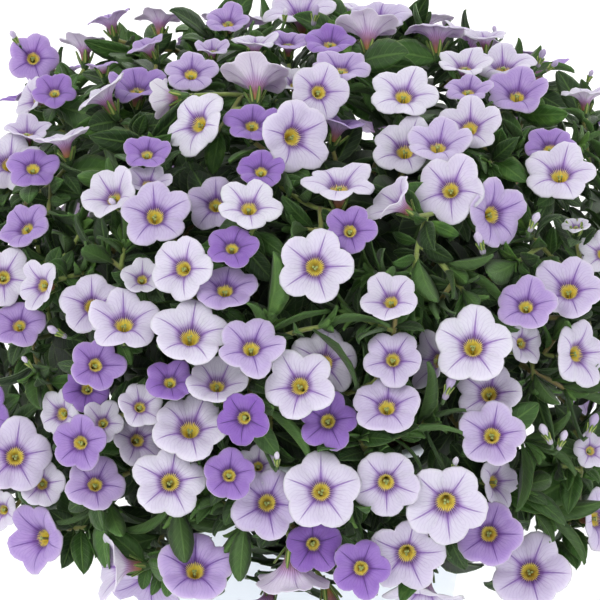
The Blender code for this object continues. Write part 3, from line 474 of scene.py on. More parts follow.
# Room between the pieces
def solid_of(shape, margin=0.0):
    """A shape's points, its tree and its box, with a margin below."""
    points, faces = shape
    low = [min(p[i] for p in points) - margin for i in range(3)]
    high = [max(p[i] for p in points) for i in range(3)]
    tree = BVHTree.FromPolygons([tuple(p) for p in points], faces)
    return {"points": points, "tree": tree, "low": low, "high": high}


def boxes_apart(one, other):
    return any(one["low"][i] > other["high"][i] or one["high"][i] < other["low"][i] for i in range(3))


class Room:
    """What is placed so far, kept so that new pieces can be tested against it."""

    def __init__(self):
        self.held = []

    def add(self, shape, stem, kind):
        self.held.append({**solid_of(shape), "stem": stem, "kind": kind})
        return self.held[-1]

    def hits(self, shape, passes=lambda held: False):
        solid = solid_of(shape)
        for held in self.held:
            if not passes(held) and not boxes_apart(solid, held) and solid["tree"].overlap(held["tree"]):
                return True
        return False


# Main stems: for each ring of them, from the middle, the foot's radius, and the knee's share of the way out
# and its height, which the middle stem takes from its tip
FOOT_RADII = (2, 17, 36, 54)
KNEE_SHARES = (0.35, 0.30, 0.30, 0.22)
KNEE_HEIGHTS = (0.0, 235 * MM, 215 * MM, 196 * MM)
STEM_STEPS = 5
STEM_TAPER = 0.45


def stem_path(turn, polar, ring):
    """Up from its hole in the soil and out to the place that its shoots fill."""
    tip = mound_point(turn, polar)
    tip -= mound_normal(tip) * STEM_DEPTH
    out = Vector((math.cos(turn), math.sin(turn), 0))
    foot_radius = FOOT_RADII[ring] * MM
    foot = out * foot_radius + Vector((0, 0, SOIL_TOP - HOLE_DEPTH + 1.5 * MM))
    rise = out * foot_radius + Vector((0, 0, SOIL_TOP + 4 * MM))
    reach = math.hypot(tip.x, tip.y)
    knee_radius = foot_radius + (reach - foot_radius) * KNEE_SHARES[ring]
    knee_height = KNEE_HEIGHTS[ring] or tip.z - 30 * MM
    knee = out * knee_radius + Vector((0, 0, knee_height))
    path = [foot]
    for step in range(STEM_STEPS + 1):
        t = step / STEM_STEPS
        path.append(rise * (1 - t) ** 2 + knee * 2 * t * (1 - t) + tip * t * t)
    return path


def main_stems():
    stems = []
    for ring, (count, polar) in enumerate(STEM_RINGS):
        for i in range(count):
            turn = 2 * math.pi * (i + 0.5 * (ring % 2)) / count + 0.35
            path = stem_path(turn, math.radians(polar), ring)
            radii = [STEM_RADIUS * (1 - STEM_TAPER * k / (len(path) - 1)) for k in range(len(path))]
            stems.append({"path": path, "radii": radii})
    return stems


# Blooms: how they slide back, in millimetres, and the room round each
LAYER_STEP = 5
SLIDES = 30
SLIDE_STEP = 1.6
PHOTO_ROOM = 0.9 * MM
FAR_ROOM = 1.6 * MM
FAR_TINTS = (0.05, 0.08, 0.1, 0.12, 0.15, 0.35, 0.4, 0.5, 0.6, 0.75, 0.85, 0.9)
LOWEST_POLAR = 106


def facing_from(pitch, yaw, lean, ray):
    right, up, _ = view_axes()
    toward = -ray
    pitch = math.radians(pitch)
    yaw = math.radians(yaw)
    level = toward * math.cos(yaw) + right * math.sin(yaw)
    facing = level * math.cos(pitch) + up * math.sin(pitch)
    return (Quaternion(ray, math.radians(lean)) @ facing).normalized()


def photo_blooms(room, rng):
    """Front layer first, and each bloom slides back along its line of sight until it is clear."""
    placed = []
    for x, y, width, pitch, yaw, lean, tint, layer in sorted(BLOOMS, key=lambda row: row[7]):
        ray = view_ray(x, y)
        start = mound_hit(x, y)
        facing = facing_from(pitch, yaw, lean, ray)
        roll = rng.uniform(-0.35, 0.35)
        for step in range(SLIDES):
            middle = start + ray * (layer * LAYER_STEP - LAYER_STEP + step * SLIDE_STEP) * MM
            depth = (middle - view_point()).dot(view_axes()[2])
            radius = width / 2 * depth / VIEW_FOCAL
            bloom = {"middle": middle, "facing": facing, "roll": roll, "radius": radius, "tint": tint}
            if not room.hits(trumpet_shape(bloom, PHOTO_ROOM)):
                bloom["held"] = room.add(trumpet_shape(bloom), len(placed), "bloom")
                bloom["seen"] = True
                bloom["spot"] = (x, y)
                placed.append(bloom)
                break
    return placed


def seen(point, normal):
    """Whether the picture shows this part of the surface."""
    x, y = in_view(point)
    toward = (view_point() - point).normalized()
    return -14 < x < 614 and y < 604 and normal.dot(toward) > 0.16


def golden_directions(count):
    """Turns and polar angles spread evenly, by area, over the mound from its top to its foot."""
    lowest = math.cos(math.radians(LOWEST_POLAR))
    for i in range(count):
        level = 1 - (1 - lowest) * (i + 0.5) / count
        yield i * math.pi * (3 - math.sqrt(5)), math.acos(level)


def far_blooms(room, rng, placed):
    found = []
    spots = list(golden_directions(FAR_BLOOMS * 6))
    rng.shuffle(spots)
    for turn, polar in spots:
        surface = mound_point(turn, polar)
        normal = mound_normal(surface)
        tint = rng.choice(FAR_TINTS)
        width = rng.uniform(24, 28) if tint > 0.45 else rng.uniform(28, 33)
        tilt = random_vector(rng, 0.35) + Vector((0, 0, 0.3))
        roll = rng.uniform(-0.6, 0.6)
        sink = rng.uniform(-1, 6) * MM
        if surface.z < MOUND_FOOT or seen(surface, normal):
            continue
        facing = (normal + tilt).normalized()
        middle = surface - normal * sink
        bloom = {"middle": middle, "facing": facing, "roll": roll, "radius": width / 2 * MM, "tint": tint}
        if room.hits(trumpet_shape(bloom, FAR_ROOM)):
            continue
        bloom["held"] = room.add(trumpet_shape(bloom), len(placed) + len(found), "bloom")
        bloom["seen"] = False
        found.append(bloom)
        if len(found) == FAR_BLOOMS:
            break
    return found


# Side shoots: the shares of a main stem that they leave from, their reach, their bends and the ways weighed
FORK_SHARES = (1.0, 0.92, 0.84, 0.76, 0.68, 0.6, 0.52, 0.44, 0.36)
SHORTEST_SHOOT = 7 * MM
LONGEST_SHOOT = 95 * MM
BEND_LENGTH = 18 * MM
BENDS = (0.4, 0.15, 0.7)
MOST_CHOICES = 45
POT_ROOM = 4 * MM
SHOOT_ROOM = 0.45 * MM


def bezier(a, b, c, d, steps):
    points = []
    for i in range(steps + 1):
        t = i / steps
        points.append(a * (1 - t) ** 3 + b * 3 * t * (1 - t) ** 2 + c * 3 * t * t * (1 - t) + d * t**3)
    return points


def on_stem(stem, share):
    """A point on a stem's path and the direction there."""
    path = stem["path"]
    at = 1 + share * (len(path) - 2)
    i = min(int(at), len(path) - 2)
    return path[i].lerp(path[i + 1], at - i), (path[i + 1] - path[i]).normalized()


def stem_forks(stems):
    """The places on the main stems that a side shoot can leave from."""
    forks = []
    for number, stem in enumerate(stems):
        for share in FORK_SHARES:
            start, ahead = on_stem(stem, share)
            if share == 1.0:
                start = start - ahead * 1.5 * MM
            forks.append({"stem": number, "start": start, "ahead": ahead, "used": False})
    return forks


def shoot_choices(forks, foot, away):
    """Ways to reach a foot, the cheapest first: fork and path."""
    choices = []
    load = {}
    for fork in forks:
        load[fork["stem"]] = load.get(fork["stem"], 0) + fork["used"]
    for fork in forks:
        if fork["used"]:
            continue
        gap = foot - fork["start"]
        if gap.length < SHORTEST_SHOOT or gap.length > LONGEST_SHOOT:
            continue
        straight = gap.normalized()
        for bend in BENDS:
            leave = fork["start"] + (fork["ahead"] * 0.6 + straight) * gap.length * 0.25
            arrive = foot + away * gap.length * bend
            turn = 2 - straight.dot(-away) - straight.dot(fork["ahead"])
            cost = gap.length * (1 + 0.25 * turn + 0.1 * bend + 0.05 * load[fork["stem"]])
            steps = 1 if gap.length < BEND_LENGTH else 2
            choices.append((cost, fork, bezier(fork["start"], leave, arrive, foot, steps)))
    choices.sort(key=lambda choice: choice[0])
    return choices[:MOST_CHOICES]


def above_pot(points):
    """Whether a path stays clear of the pot and the soil."""
    for point in points:
        across = math.hypot(point.x, point.y)
        if across < POT_RIM_RADIUS + POT_ROOM and point.z < POT_HEIGHT + POT_ROOM:
            return False
        if point.z < MOUND_FOOT - 14 * MM:
            return False
    return True


def shoot_clear(room, path, number, own, strict):
    """Whether a shoot meets no other piece, past the point where it leaves its own stem."""

    def is_own(held):
        return held is own or (held["stem"] == number and held["kind"] != "bloom")

    def is_strange(held):
        return held is own or held["stem"] != number or held["kind"] in ("stem", "bloom")

    thick = [SHOOT_RADIUS + SHOOT_ROOM] * len(path)
    if room.hits(tube_shape(path, thick, 3), is_own):
        return False
    rest = [path[0].lerp(path[1], 0.6)] + path[1:]
    return not strict or not room.hits(tube_shape(rest, thick, 3), is_strange)


def grow_shoot(forks, room, foot, away, own):
    """The first way that meets nothing of another stem, and then its own stem's pieces if it must."""
    choices = shoot_choices(forks, foot, away)
    for strict in (True, False):
        for _, fork, path in choices:
            number = fork["stem"]
            if above_pot(path[1:]) and shoot_clear(room, path, number, own, strict):
                fork["used"] = True
                for i, share in ((0, 0.6), (0, 0.95), (1, 0.4))[: 2 * len(path) - 3]:
                    start = path[i].lerp(path[i + 1], share)
                    ahead = (path[i + 1] - path[i]).normalized()
                    forks.append({"stem": number, "start": start, "ahead": ahead, "used": False})
                return number, path
    return None, None


def connect_blooms(forks, room, blooms):
    kept = []
    for bloom in blooms:
        bloom["held"]["stem"] = -1
    for bloom in sorted(blooms, key=lambda b: mound_level(b["middle"])):
        foot = bloom_foot(bloom)
        number, path = grow_shoot(forks, room, foot, -bloom["facing"], bloom["held"])
        if number is None:
            room.held.remove(bloom["held"])
            continue
        bloom["stem"] = number
        bloom["shoot"] = path
        bloom["held"]["stem"] = number
        radii = [SHOOT_RADIUS * 1.25] + [SHOOT_RADIUS] * (len(path) - 1)
        room.add(tube_shape(path, radii, 3), number, "shoot")
        kept.append(bloom)
    return kept


# Leafy tips
def try_leaf(room, shoot, slot, base, ahead, outward, length):
    ahead = ahead.normalized()
    leaf = {"base": base, "ahead": ahead, "upper": square_to(ahead, outward), "slot": slot}
    leaf["length"] = length
    leaf["width"] = length * 0.38
    tip = base + ahead * length
    if mound_level(tip) > 1.03 or tip.z < MOUND_FOOT - 16 * MM:
        return None
    if not above_pot([tip, base.lerp(tip, 0.5)]):
        return None
    if room.hits(leaf_shape(leaf, 0.8 * MM), lambda held: held is shoot):
        return None
    room.add(leaf_shape(leaf), shoot["stem"], "leaf")
    return leaf


def tuft_spots():
    spots = []
    for x, y in TUFTS:
        point = mound_hit(x, y)
        spots.append(point - mound_normal(point) * 12 * MM)
    far = 0
    for turn, polar in golden_directions(150):
        point = mound_point(turn + 0.9, polar)
        normal = mound_normal(point)
        if far < FAR_TUFTS and point.z > MOUND_FOOT + 6 * MM and not seen(point, normal):
            spots.append(point - normal * 13 * MM)
            far += 1
    return spots


def grow_tufts(forks, room, rng):
    """Leafy side shoots that end between the blooms."""
    tufts = []
    for spot in tuft_spots():
        outward = mound_normal(spot)
        number, path = grow_shoot(forks, room, spot, -outward, None)
        if number is None:
            continue
        steps = tuft_path(path)
        shoot = room.add(tube_shape(steps, [SHOOT_RADIUS] * len(steps), 3), number, "shoot")
        ring = [frame[0] for frame in frames_along(steps)][-1]
        along = (steps[-1] - steps[-2]).normalized()
        leaves = []
        for slot in range(4):
            if slot == 3:
                ahead = along + outward * 0.3
                base = steps[-1] - along * 0.3 * MM
                top = ring
            else:
                out = Quaternion(along, math.radians(60 + 120 * slot)) @ ring
                ahead = out * 0.85 + along * rng.uniform(0.3, 0.8)
                base = steps[-1] - along * TIP_STEP * 0.7
                top = along
            for length in (26, 21, 16):
                leaf = try_leaf(room, shoot, slot, base, ahead, top, length * rng.uniform(0.9, 1.1) * MM)
                if leaf:
                    leaves.append(leaf)
                    break
        tufts.append({"stem": number, "shoot": path, "leaves": leaves})
    return tufts


def drop_crowded(stems, blooms, tufts):
    """Keeps what stands clear of every other stem's pieces in its full shape, blooms before leafy tips."""
    held = []
    for number, stem in enumerate(stems):
        held.append((number, solid_of(tube_shape(stem["path"], stem["radii"], 4), LEAST_GAP)))
    kept = []
    for piece in sorted(blooms, key=lambda b: not b["seen"]) + tufts:
        shape = bloom_shape(piece) if "radius" in piece else tuft_shape(piece)
        solid = solid_of(shape, LEAST_GAP)
        if any(number != piece["stem"] and too_near(solid, other) for number, other in held):
            continue
        held.append((piece["stem"], solid))
        kept.append(piece)
    return [p for p in kept if "radius" in p], [p for p in kept if "radius" not in p]


def too_near(one, other):
    if boxes_apart(one, other):
        return False
    if one["tree"].overlap(other["tree"]):
        return True
    for a, b in ((one, other), (other, one)):
        if any(a["tree"].find_nearest(p, LEAST_GAP)[0] is not None for p in b["points"]):
            return True
    return False


def lay_out():
    """Every stem, bloom and leafy tip of the plant, in its place."""
    rng = random.Random(SEED)
    room = Room()
    stems = main_stems()
    for number, stem in enumerate(stems):
        room.add(tube_shape(stem["path"], stem["radii"], 4), number, "stem")
    blooms = photo_blooms(room, rng)
    blooms += far_blooms(room, rng, blooms)
    forks = stem_forks(stems)
    blooms = connect_blooms(forks, room, blooms)
    tufts = grow_tufts(forks, room, rng)
    blooms, tufts = drop_crowded(stems, blooms, tufts)
    return stems, blooms, tufts, room


# Fine shapes: stacks of rings, each point with its form (three numbers over the surface) and tone
def circle(sides):
    return np.arange(sides) * 2 * math.pi / sides


def lathe(rows, sides):
    """Rings about the z axis from rows of radius and height."""
    turns = circle(sides)
    rings = []
    for radius, height in rows:
        rings.append(np.stack([np.cos(turns) * radius, np.sin(turns) * radius, np.full(sides, height)], 1))
    return np.array(rings)


class Pile:
    """Points and faces of one piece, gathered before its mesh is made."""

    def __init__(self):
        self.count = 0
        self.points = []
        self.form = []
        self.tone = []
        self.quads = []
        self.quad_looks = []
        self.tris = []
        self.tri_looks = []

    def add_points(self, points, form, tone):
        first = self.count
        self.points.append(points)
        self.form.append(form)
        self.tone.append(np.broadcast_to(tone, points.shape))
        self.count += len(points)
        return first

    def add_rings(self, rings, form, tone, look):
        """A closed body from rings of equal size, with a fan over each end."""
        rows, size, _ = rings.shape
        first = self.add_points(rings.reshape(-1, 3), form.reshape(-1, 3), tone)
        turn = np.arange(size)
        step = (turn + 1) % size
        for row in range(rows - 1):
            low = first + row * size
            high = low + size
            self.quads.append(np.stack([low + turn, low + step, high + step, high + turn], 1))
            self.quad_looks.append(np.full(size, look))
        for row, flip in ((0, True), (rows - 1, False)):
            middle = rings[row].mean(0)[None]
            cap = np.asarray(tone, float)
            cap = cap if cap.ndim == 1 else cap[row * size]
            top = self.add_points(middle, form[row].mean(0)[None], cap)
            low = first + row * size
            a, b = (low + step, low + turn) if flip else (low + turn, low + step)
            self.tris.append(np.stack([a, b, np.full(size, top)], 1))
            self.tri_looks.append(np.full(size, look))

    def make(self, name, looks):
        points = np.concatenate(self.points)
        quads = np.concatenate(self.quads)
        tris = np.concatenate(self.tris)
        loops = np.concatenate([quads.ravel(), tris.ravel()]).astype(np.int32)
        sizes = np.concatenate([np.full(len(quads), 4), np.full(len(tris), 3)])
        starts = np.concatenate([[0], np.cumsum(sizes)[:-1]]).astype(np.int32)
        mesh = bpy.data.meshes.new(name)
        mesh.vertices.add(len(points))
        mesh.vertices.foreach_set("co", points.astype(np.float32).ravel())
        mesh.loops.add(len(loops))
        mesh.loops.foreach_set("vertex_index", loops)
        mesh.polygons.add(len(sizes))
        mesh.polygons.foreach_set("loop_start", starts)
        for key, parts in (("form", self.form), ("tone", self.tone)):
            layer = mesh.attributes.new(key, "FLOAT_VECTOR", "POINT")
            layer.data.foreach_set("vector", np.concatenate(parts).astype(np.float32).ravel())
        for look in looks:
            mesh.materials.append(look)
        looks_of = np.concatenate(self.quad_looks + self.tri_looks).astype(np.int32)
        mesh.polygons.foreach_set("material_index", looks_of)
        mesh.polygons.foreach_set("use_smooth", np.ones(len(sizes), bool))
        mesh.update(calc_edges=True)
        return add_object(name, mesh)


def vectors(*items):
    return [np.array(item, float) for item in items]


def smooth_path(path, steps):
    """A soft curve through a path's points."""
    points = []
    for i in range(len(path) - 1):
        a = path[max(i - 1, 0)]
        b = path[i]
        c = path[i + 1]
        d = path[min(i + 2, len(path) - 1)]
        for k in range(steps):
            t = k / steps
            bend = b * 2 + (c - a) * t + (a * 2 - b * 5 + c * 4 - d) * t * t + (b * 3 - a - c * 3 + d) * t**3
            points.append(bend * 0.5)
    return points + [path[-1]]


def add_rod(pile, points, radii, sides, tone, look):
    frames = frames_along(points)
    turns = circle(sides)
    rings = []
    form = []
    for i, (point, frame, radius) in enumerate(zip(points, frames, radii)):
        side, upper, middle = vectors(frame[0], frame[1], point)
        rings.append(middle + radius * (np.cos(turns)[:, None] * side + np.sin(turns)[:, None] * upper))
        along = np.full(sides, i / (len(points) - 1))
        form.append(np.stack([np.cos(turns), along, np.sin(turns)], 1))
    pile.add_rings(np.array(rings), np.array(form), tone, look)


# The order of a stem's materials
PETAL_LOOK = 0
LEAF_LOOK = 1
STEM_LOOK = 2

# Petals: radius and depth along the corolla, as shares of the bloom's radius, from the throat out and back
FRONT = (
    (0.03, -0.85), (0.075, -0.66), (0.10, -0.50), (0.135, -0.37), (0.18, -0.275), (0.235, -0.205),
    (0.31, -0.15), (0.41, -0.10), (0.53, -0.058), (0.66, -0.026), (0.79, -0.008), (0.91, -0.006),
    (0.975, -0.022),
)  # fmt: skip
BACK = (
    (1.0, -0.040), (0.965, -0.046), (0.87, -0.042), (0.70, -0.058), (0.52, -0.095), (0.38, -0.145),
    (0.28, -0.205), (0.215, -0.285), (0.175, -0.39), (0.15, -0.54), (0.13, -0.76), (0.09, -1.06),
)  # fmt: skip
LOBE_STEPS = (-1.0, -0.84, -0.55, -0.25, 0.0, 0.25, 0.55, 0.84)
PETAL_STEPS = 5 * len(LOBE_STEPS)

# How far some blooms fold forward, as read: the middle's x and y, and the fold
FOLDED = {
    (125, 380): 0.34, (217, 380): 0.28, (407, 556): 0.20, (112, 566): 0.35, (291, 580): 0.30, (163, 98): 0.30,
    (28, 98): 0.25, (256, 73): 0.16, (85, 41): 0.15, (390, 198): 0.22, (446, 505): 0.10, (368, 25): 0.18,
    (38, 285): 0.20, (109, 192): 0.15, (428, 360): 0.15, (148, 181): 0.35, (142, 277): 0.35,
}  # fmt: skip


def outline_of(across, reach, dents):
    """The rim's reach: five round lobes that meet in sharp notches. Across is -1 to 1 over each lobe."""
    angle = across * math.pi / 5
    lobe = 1.03 - reach
    round_lobe = reach * np.cos(angle) + np.sqrt(lobe**2 - (reach * np.sin(angle)) ** 2)
    return round_lobe - dents * np.exp(-((across / 0.2) ** 2))


def add_corolla(pile, bloom, rng):
    """The flared face, from the throat out over the rim, and the back of the tube down to its foot."""
    side, upper, facing = bloom_axes(bloom)
    side, upper, facing, middle = vectors(side, upper, facing, bloom["middle"])
    radius = bloom["radius"]
    lobe = np.repeat(np.arange(5), len(LOBE_STEPS))
    across = np.tile(LOBE_STEPS, 5)
    turns = (lobe * 2 + across) * math.pi / 5
    away = np.abs(across)
    dents = np.array([rng.uniform(-0.005, 0.045) for _ in range(5)])
    size = np.array([rng.uniform(0.92, 1.04) for _ in range(5)])
    bend = np.array([rng.uniform(-0.22, 0.12) for _ in range(5)])
    twist = np.array([rng.uniform(-0.11, 0.11) for _ in range(5)])
    phase = [rng.uniform(0, 6.28) for _ in range(3)]
    fold = FOLDED.get(bloom.get("spot"), rng.choice((0.0, 0.0, 0.05, 0.1, -0.06)))
    lean = rng.uniform(0, 6.28)
    soft = 1 - away**2
    reach = outline_of(across, rng.uniform(0.50, 0.60), dents[lobe]) * (1 + (size[lobe] - 1) * soft)
    toward = bloom["facing"].dot((view_point() - bloom["middle"]).normalized())
    funnel = rng.uniform(0.2, 0.6) if toward > 0.7 else rng.uniform(0.7, 1.1)
    spokes = np.cos(turns)[:, None] * side + np.sin(turns)[:, None] * upper
    rings = []
    form = []
    for share, depth in FRONT + BACK:
        spread = min(max((share - 0.22) / 0.78, 0.0), 1.0)
        out = share * (1 + (reach - 1) * spread)
        out *= 1 - 0.10 * abs(fold) * spread
        sink = 0.20 * funnel * (1 - spread) ** 1.3 * min(max((1.06 + depth) / 0.7, 0), 1)
        rise = depth - sink + spread**1.6 * bend[lobe] * soft + spread * twist[lobe] * across * soft
        rise = rise + fold * spread**1.5 * (0.65 + 0.5 * np.cos(turns - lean))
        rise = rise + spread**2 * 0.045 * np.sin(3 * turns + phase[0])
        rise = rise + spread**2 * 0.028 * np.sin(7 * turns + phase[1])
        rise = rise + spread**3 * 0.014 * np.sin(13 * turns + phase[2])
        rise = rise - 0.030 * spread**0.7 * np.exp(-((away / 0.14) ** 2)) * (1 - spread * 0.6)
        rise = rise - 0.10 * spread**0.8 * np.exp(-(((1 - away) / 0.30) ** 2))
        rise = rise + 0.05 * spread * (1 - spread) * 4 * soft
        rings.append(middle + radius * (out[:, None] * spokes + rise[:, None] * facing))
        form.append(np.stack([away, np.full(PETAL_STEPS, share), np.full(PETAL_STEPS, -depth)], 1))
    tone = np.repeat([[bloom["tint"], rng.random(), 0.0]], len(FRONT + BACK) * PETAL_STEPS, 0)
    tone[len(FRONT) * PETAL_STEPS :, 2] = 1.0
    pile.add_rings(np.array(rings), np.array(form), tone, PETAL_LOOK)


# Leaves: share of the length, share of the width, rise
LEAF_ROWS = (
    (0.0, 0.10, 0.0), (0.12, 0.24, 0.015), (0.26, 0.70, 0.04), (0.45, 1.0, 0.055), (0.64, 0.97, 0.045),
    (0.80, 0.74, 0.02), (0.92, 0.42, -0.015), (0.985, 0.13, -0.04),
)  # fmt: skip
SEPAL_ROWS = ((0.0, 0.5, 0.0), (0.3, 1.0, 0.02), (0.7, 0.8, 0.02), (0.98, 0.2, 0.0))
LEAF_ACROSS = (1.0, 0.5, 0.0, -0.5, -1.0, -0.5, 0.0, 0.5)
PLAIN_ACROSS = (1.0, 0.0, -1.0, 0.0)


def add_blade(pile, leaf, rng, thick=0.42, kind=0.0):
    """A blade with a groove along its midrib, a cupped section and a soft curl. Kind is 1 for a sepal."""
    side = leaf["ahead"].cross(leaf["upper"])
    ahead, upper, side, base = vectors(leaf["ahead"], leaf["upper"], side, leaf["base"])
    length = leaf["length"]
    half = leaf["width"] / 2
    curl = leaf.get("curl", rng.uniform(-0.22, 0.12))
    sway = rng.uniform(-0.10, 0.10)
    cup = rng.uniform(0.05, 0.30)
    ruffle = rng.uniform(0.0, 0.05)
    phase = rng.uniform(0, 6.28)
    rings = []
    form = []
    plain = kind > 0 or leaf.get("inner", False)
    across = np.array(PLAIN_ACROSS if plain else LEAF_ACROSS)
    under = np.array([0, 0, 0, 1] if plain else [0, 0, 0, 0, 0, 1, 1, 1])
    for along, wide, lift in SEPAL_ROWS if kind else LEAF_ROWS:
        spine = base + ahead * length * along + upper * length * (lift + curl * along**2)
        spine = spine + side * length * sway * along**2
        reach = max(half * wide, 0.35 * MM)
        rise = cup * half * wide * np.abs(across) ** 1.5
        rise = rise - 0.10 * half * np.exp(-((across / 0.3) ** 2)) * (along > 0.15)
        rise = rise + ruffle * half * np.abs(across) * np.sin(along * 16 + phase + across * 2)
        rise = rise - under * thick * MM * (1 + 0.7 * (across == 0))
        rise = rise + (1 - under) * 0.5 * thick * MM * (np.abs(across) < 1)
        rings.append(spine + reach * across[:, None] * side + rise[:, None] * upper)
        form.append(np.stack([across, np.full(len(across), along), under.astype(float)], 1))
    # Inner leaves get a darker green: painted shade for the dim inside of the mound. Young leaves are paler
    # in their own colour.
    age = rng.uniform(0.0, 0.35) if leaf.get("inner") else leaf.get("age", rng.uniform(0.1, 0.85))
    pile.add_rings(np.array(rings), np.array(form), (age, rng.random(), kind), LEAF_LOOK)


def add_calyx(pile, bloom, rng):
    """A short green cup round the tube's foot, with five narrow sepals."""
    facing = bloom["facing"]
    foot = bloom_foot(bloom)
    side, upper, _ = bloom_axes(bloom)
    radius = max(bloom["radius"], 10 * MM)
    cup = [foot + facing * along * MM for along in (-1.6, -0.6, 1.2, 2.4)]
    add_rod(pile, cup, [0.9 * MM, 1.5 * MM, 1.9 * MM, 1.75 * MM], 8, (0.35, rng.random(), 0.0), LEAF_LOOK)
    for i in range(5):
        turn = math.radians(72 * i + 36)
        out = side * math.cos(turn) + upper * math.sin(turn)
        ahead = (facing + out * rng.uniform(0.22, 0.55)).normalized()
        sepal = {"base": foot + out * 1.2 * MM + facing * 0.4 * MM, "ahead": ahead}
        sepal["upper"] = (facing * 0.25 - out).cross(ahead).cross(ahead).normalized()
        if sepal["upper"].dot(out) < 0:
            sepal["upper"] = -sepal["upper"]
        sepal["length"] = radius * rng.uniform(0.50, 0.66)
        sepal["width"] = 2.1 * MM
        sepal["curl"] = rng.uniform(-0.05, 0.2)
        add_blade(pile, sepal, rng, 0.35, 1.0)


def add_pistil(pile, bloom, rng):
    """The small pale stigma and anthers deep in the throat."""
    facing = bloom["facing"]
    side, upper, _ = bloom_axes(bloom)
    radius = bloom["radius"]
    for i in range(3):
        turn = math.radians(120 * i + rng.uniform(0, 60))
        out = (side * math.cos(turn) + upper * math.sin(turn)) * radius * 0.045
        base = bloom["middle"] - facing * radius * 0.62 + out
        top = bloom["middle"] - facing * radius * rng.uniform(0.26, 0.34) + out
        points = [base, base.lerp(top, 0.8), base.lerp(top, 0.9), top]
        add_rod(pile, points, [0.2 * MM, 0.2 * MM, 0.6 * MM, 0.4 * MM], 5, (0.0, 0.5, 0.0), STEM_LOOK)


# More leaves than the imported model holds, each on a shoot or stem
LEAF_GOAL = 2100
LEAF_TRIES = 5
INNER_LEVEL = 0.84
LOWEST_LEVEL = 0.25
LEAF_GAP = 0.3 * MM
SITE_STEP = 3.2 * MM
STEM_SITES = 5


def leaf_sites(stems, blooms, tufts):
    """Points along the shoots and stems, with their direction there."""
    sites = []
    for piece in blooms + tufts:
        for start, end in zip(piece["shoot"], piece["shoot"][1:]):
            gap = end - start
            count = max(int(gap.length / SITE_STEP), 1)
            for k in range(count):
                sites.append((start + gap * (k + 0.6) / count, gap.normalized(), piece["stem"]))
    for number, stem in enumerate(stems):
        for start, end in zip(stem["path"][2:], stem["path"][3:]):
            gap = end - start
            for k in range(STEM_SITES):
                sites.append((start + gap * (k + 0.5) / STEM_SITES, gap.normalized(), number))
    return sites


def leaf_on(base, along, outward, number, inner, rng):
    """A leaf that leaves its shoot at some turn round it. An inner one lies more along the mound."""
    around = along.orthogonal().normalized()
    out = Quaternion(along, math.radians(rng.uniform(0, 360))) @ around
    if inner:
        out = (out - outward * out.dot(outward) * 0.6 + outward * 0.15).normalized()
        upper = outward + along * 0.3
        length = rng.uniform(19, 28) * MM
    else:
        out = out * rng.uniform(0.6, 1.0) + along * rng.uniform(0.1, 0.9) + outward * 0.25
        upper = along + outward * 0.8 + Vector((0, 0, 0.2))
        length = rng.choice((rng.uniform(14, 20), rng.uniform(9, 14))) * MM
    ahead = out.normalized()
    leaf = {"base": base, "ahead": ahead, "upper": square_to(ahead, upper), "stem": number, "inner": inner}
    leaf["length"] = length
    leaf["width"] = length * rng.uniform(0.42, 0.56)
    return leaf


def faces_seen(blooms):
    """Where each bloom of the picture lies: its pixel, radius in pixels and distance."""
    rows = []
    for bloom in blooms:
        if bloom["seen"]:
            gap = (bloom["middle"] - view_point()).length
            rows.append((*in_view(bloom["middle"]), bloom["radius"] / gap * VIEW_FOCAL, gap))
    return np.array(rows)


def hides_face(faces, leaf):
    """Whether a leaf stands in front of a bloom's face in the view."""
    for share in (0.4, 0.7, 0.95):
        point = leaf["base"] + leaf["ahead"] * leaf["length"] * share
        x, y = in_view(point)
        near = np.hypot(faces[:, 0] - x, faces[:, 1] - y) < 0.9 * faces[:, 2]
        if (near & (faces[:, 3] > (point - view_point()).length)).any():
            return True
    return False


def take_room(room, faces, leaf):
    """Places a leaf if it is clear of the pot, of the blooms in the view and of what other pieces fill."""
    base = leaf["base"]
    tip = base + leaf["ahead"] * leaf["length"]
    if not above_pot([tip, base.lerp(tip, 0.5)]) or hides_face(faces, leaf):
        return False

    def is_own(held):
        return held["stem"] == leaf["stem"] and held["kind"] in ("stem", "shoot")

    if room.hits(leaf_shape(leaf, LEAF_GAP), is_own):
        return False
    room.add(leaf_shape(leaf), leaf["stem"], "leaf")
    return True


def fill_leaves(room, faces, sites, rng):
    """Leaves all over the outer layer and then, larger and plainer, within."""
    leaves = []
    for inner in (False, True):
        rng.shuffle(sites)
        most = len(leaves) + LEAF_GOAL
        for base, along, number in sites:
            level = mound_level(base)
            if len(leaves) >= most or (level < INNER_LEVEL) != inner or level < LOWEST_LEVEL:
                continue
            outward = mound_normal(base)
            for _ in range(LEAF_TRIES):
                leaf = leaf_on(base, along, outward, number, inner, rng)
                tip = base + leaf["ahead"] * leaf["length"]
                if mound_level(tip) > 1.02 or tip.z < MOUND_FOOT - 18 * MM:
                    continue
                if take_room(room, faces, leaf):
                    leaves.append(leaf)
    return leaves


# Places in the view where the leaves were too thin
GAPS = (
    (365, 97), (555, 106), (6, 111), (573, 554), (529, 527), (86, 575), (47, 565), (103, 121), (96, 172),
    (522, 415), (550, 491), (378, 61), (358, 116), (123, 547), (47, 64), (393, 63), (60, 555), (11, 528),
    (70, 39), (135, 12), (6, 73), (88, 122), (64, 500), (103, 499), (172, 31), (370, 80),
)  # fmt: skip


GAP_SITES = 70
GAP_LEAVES = 4


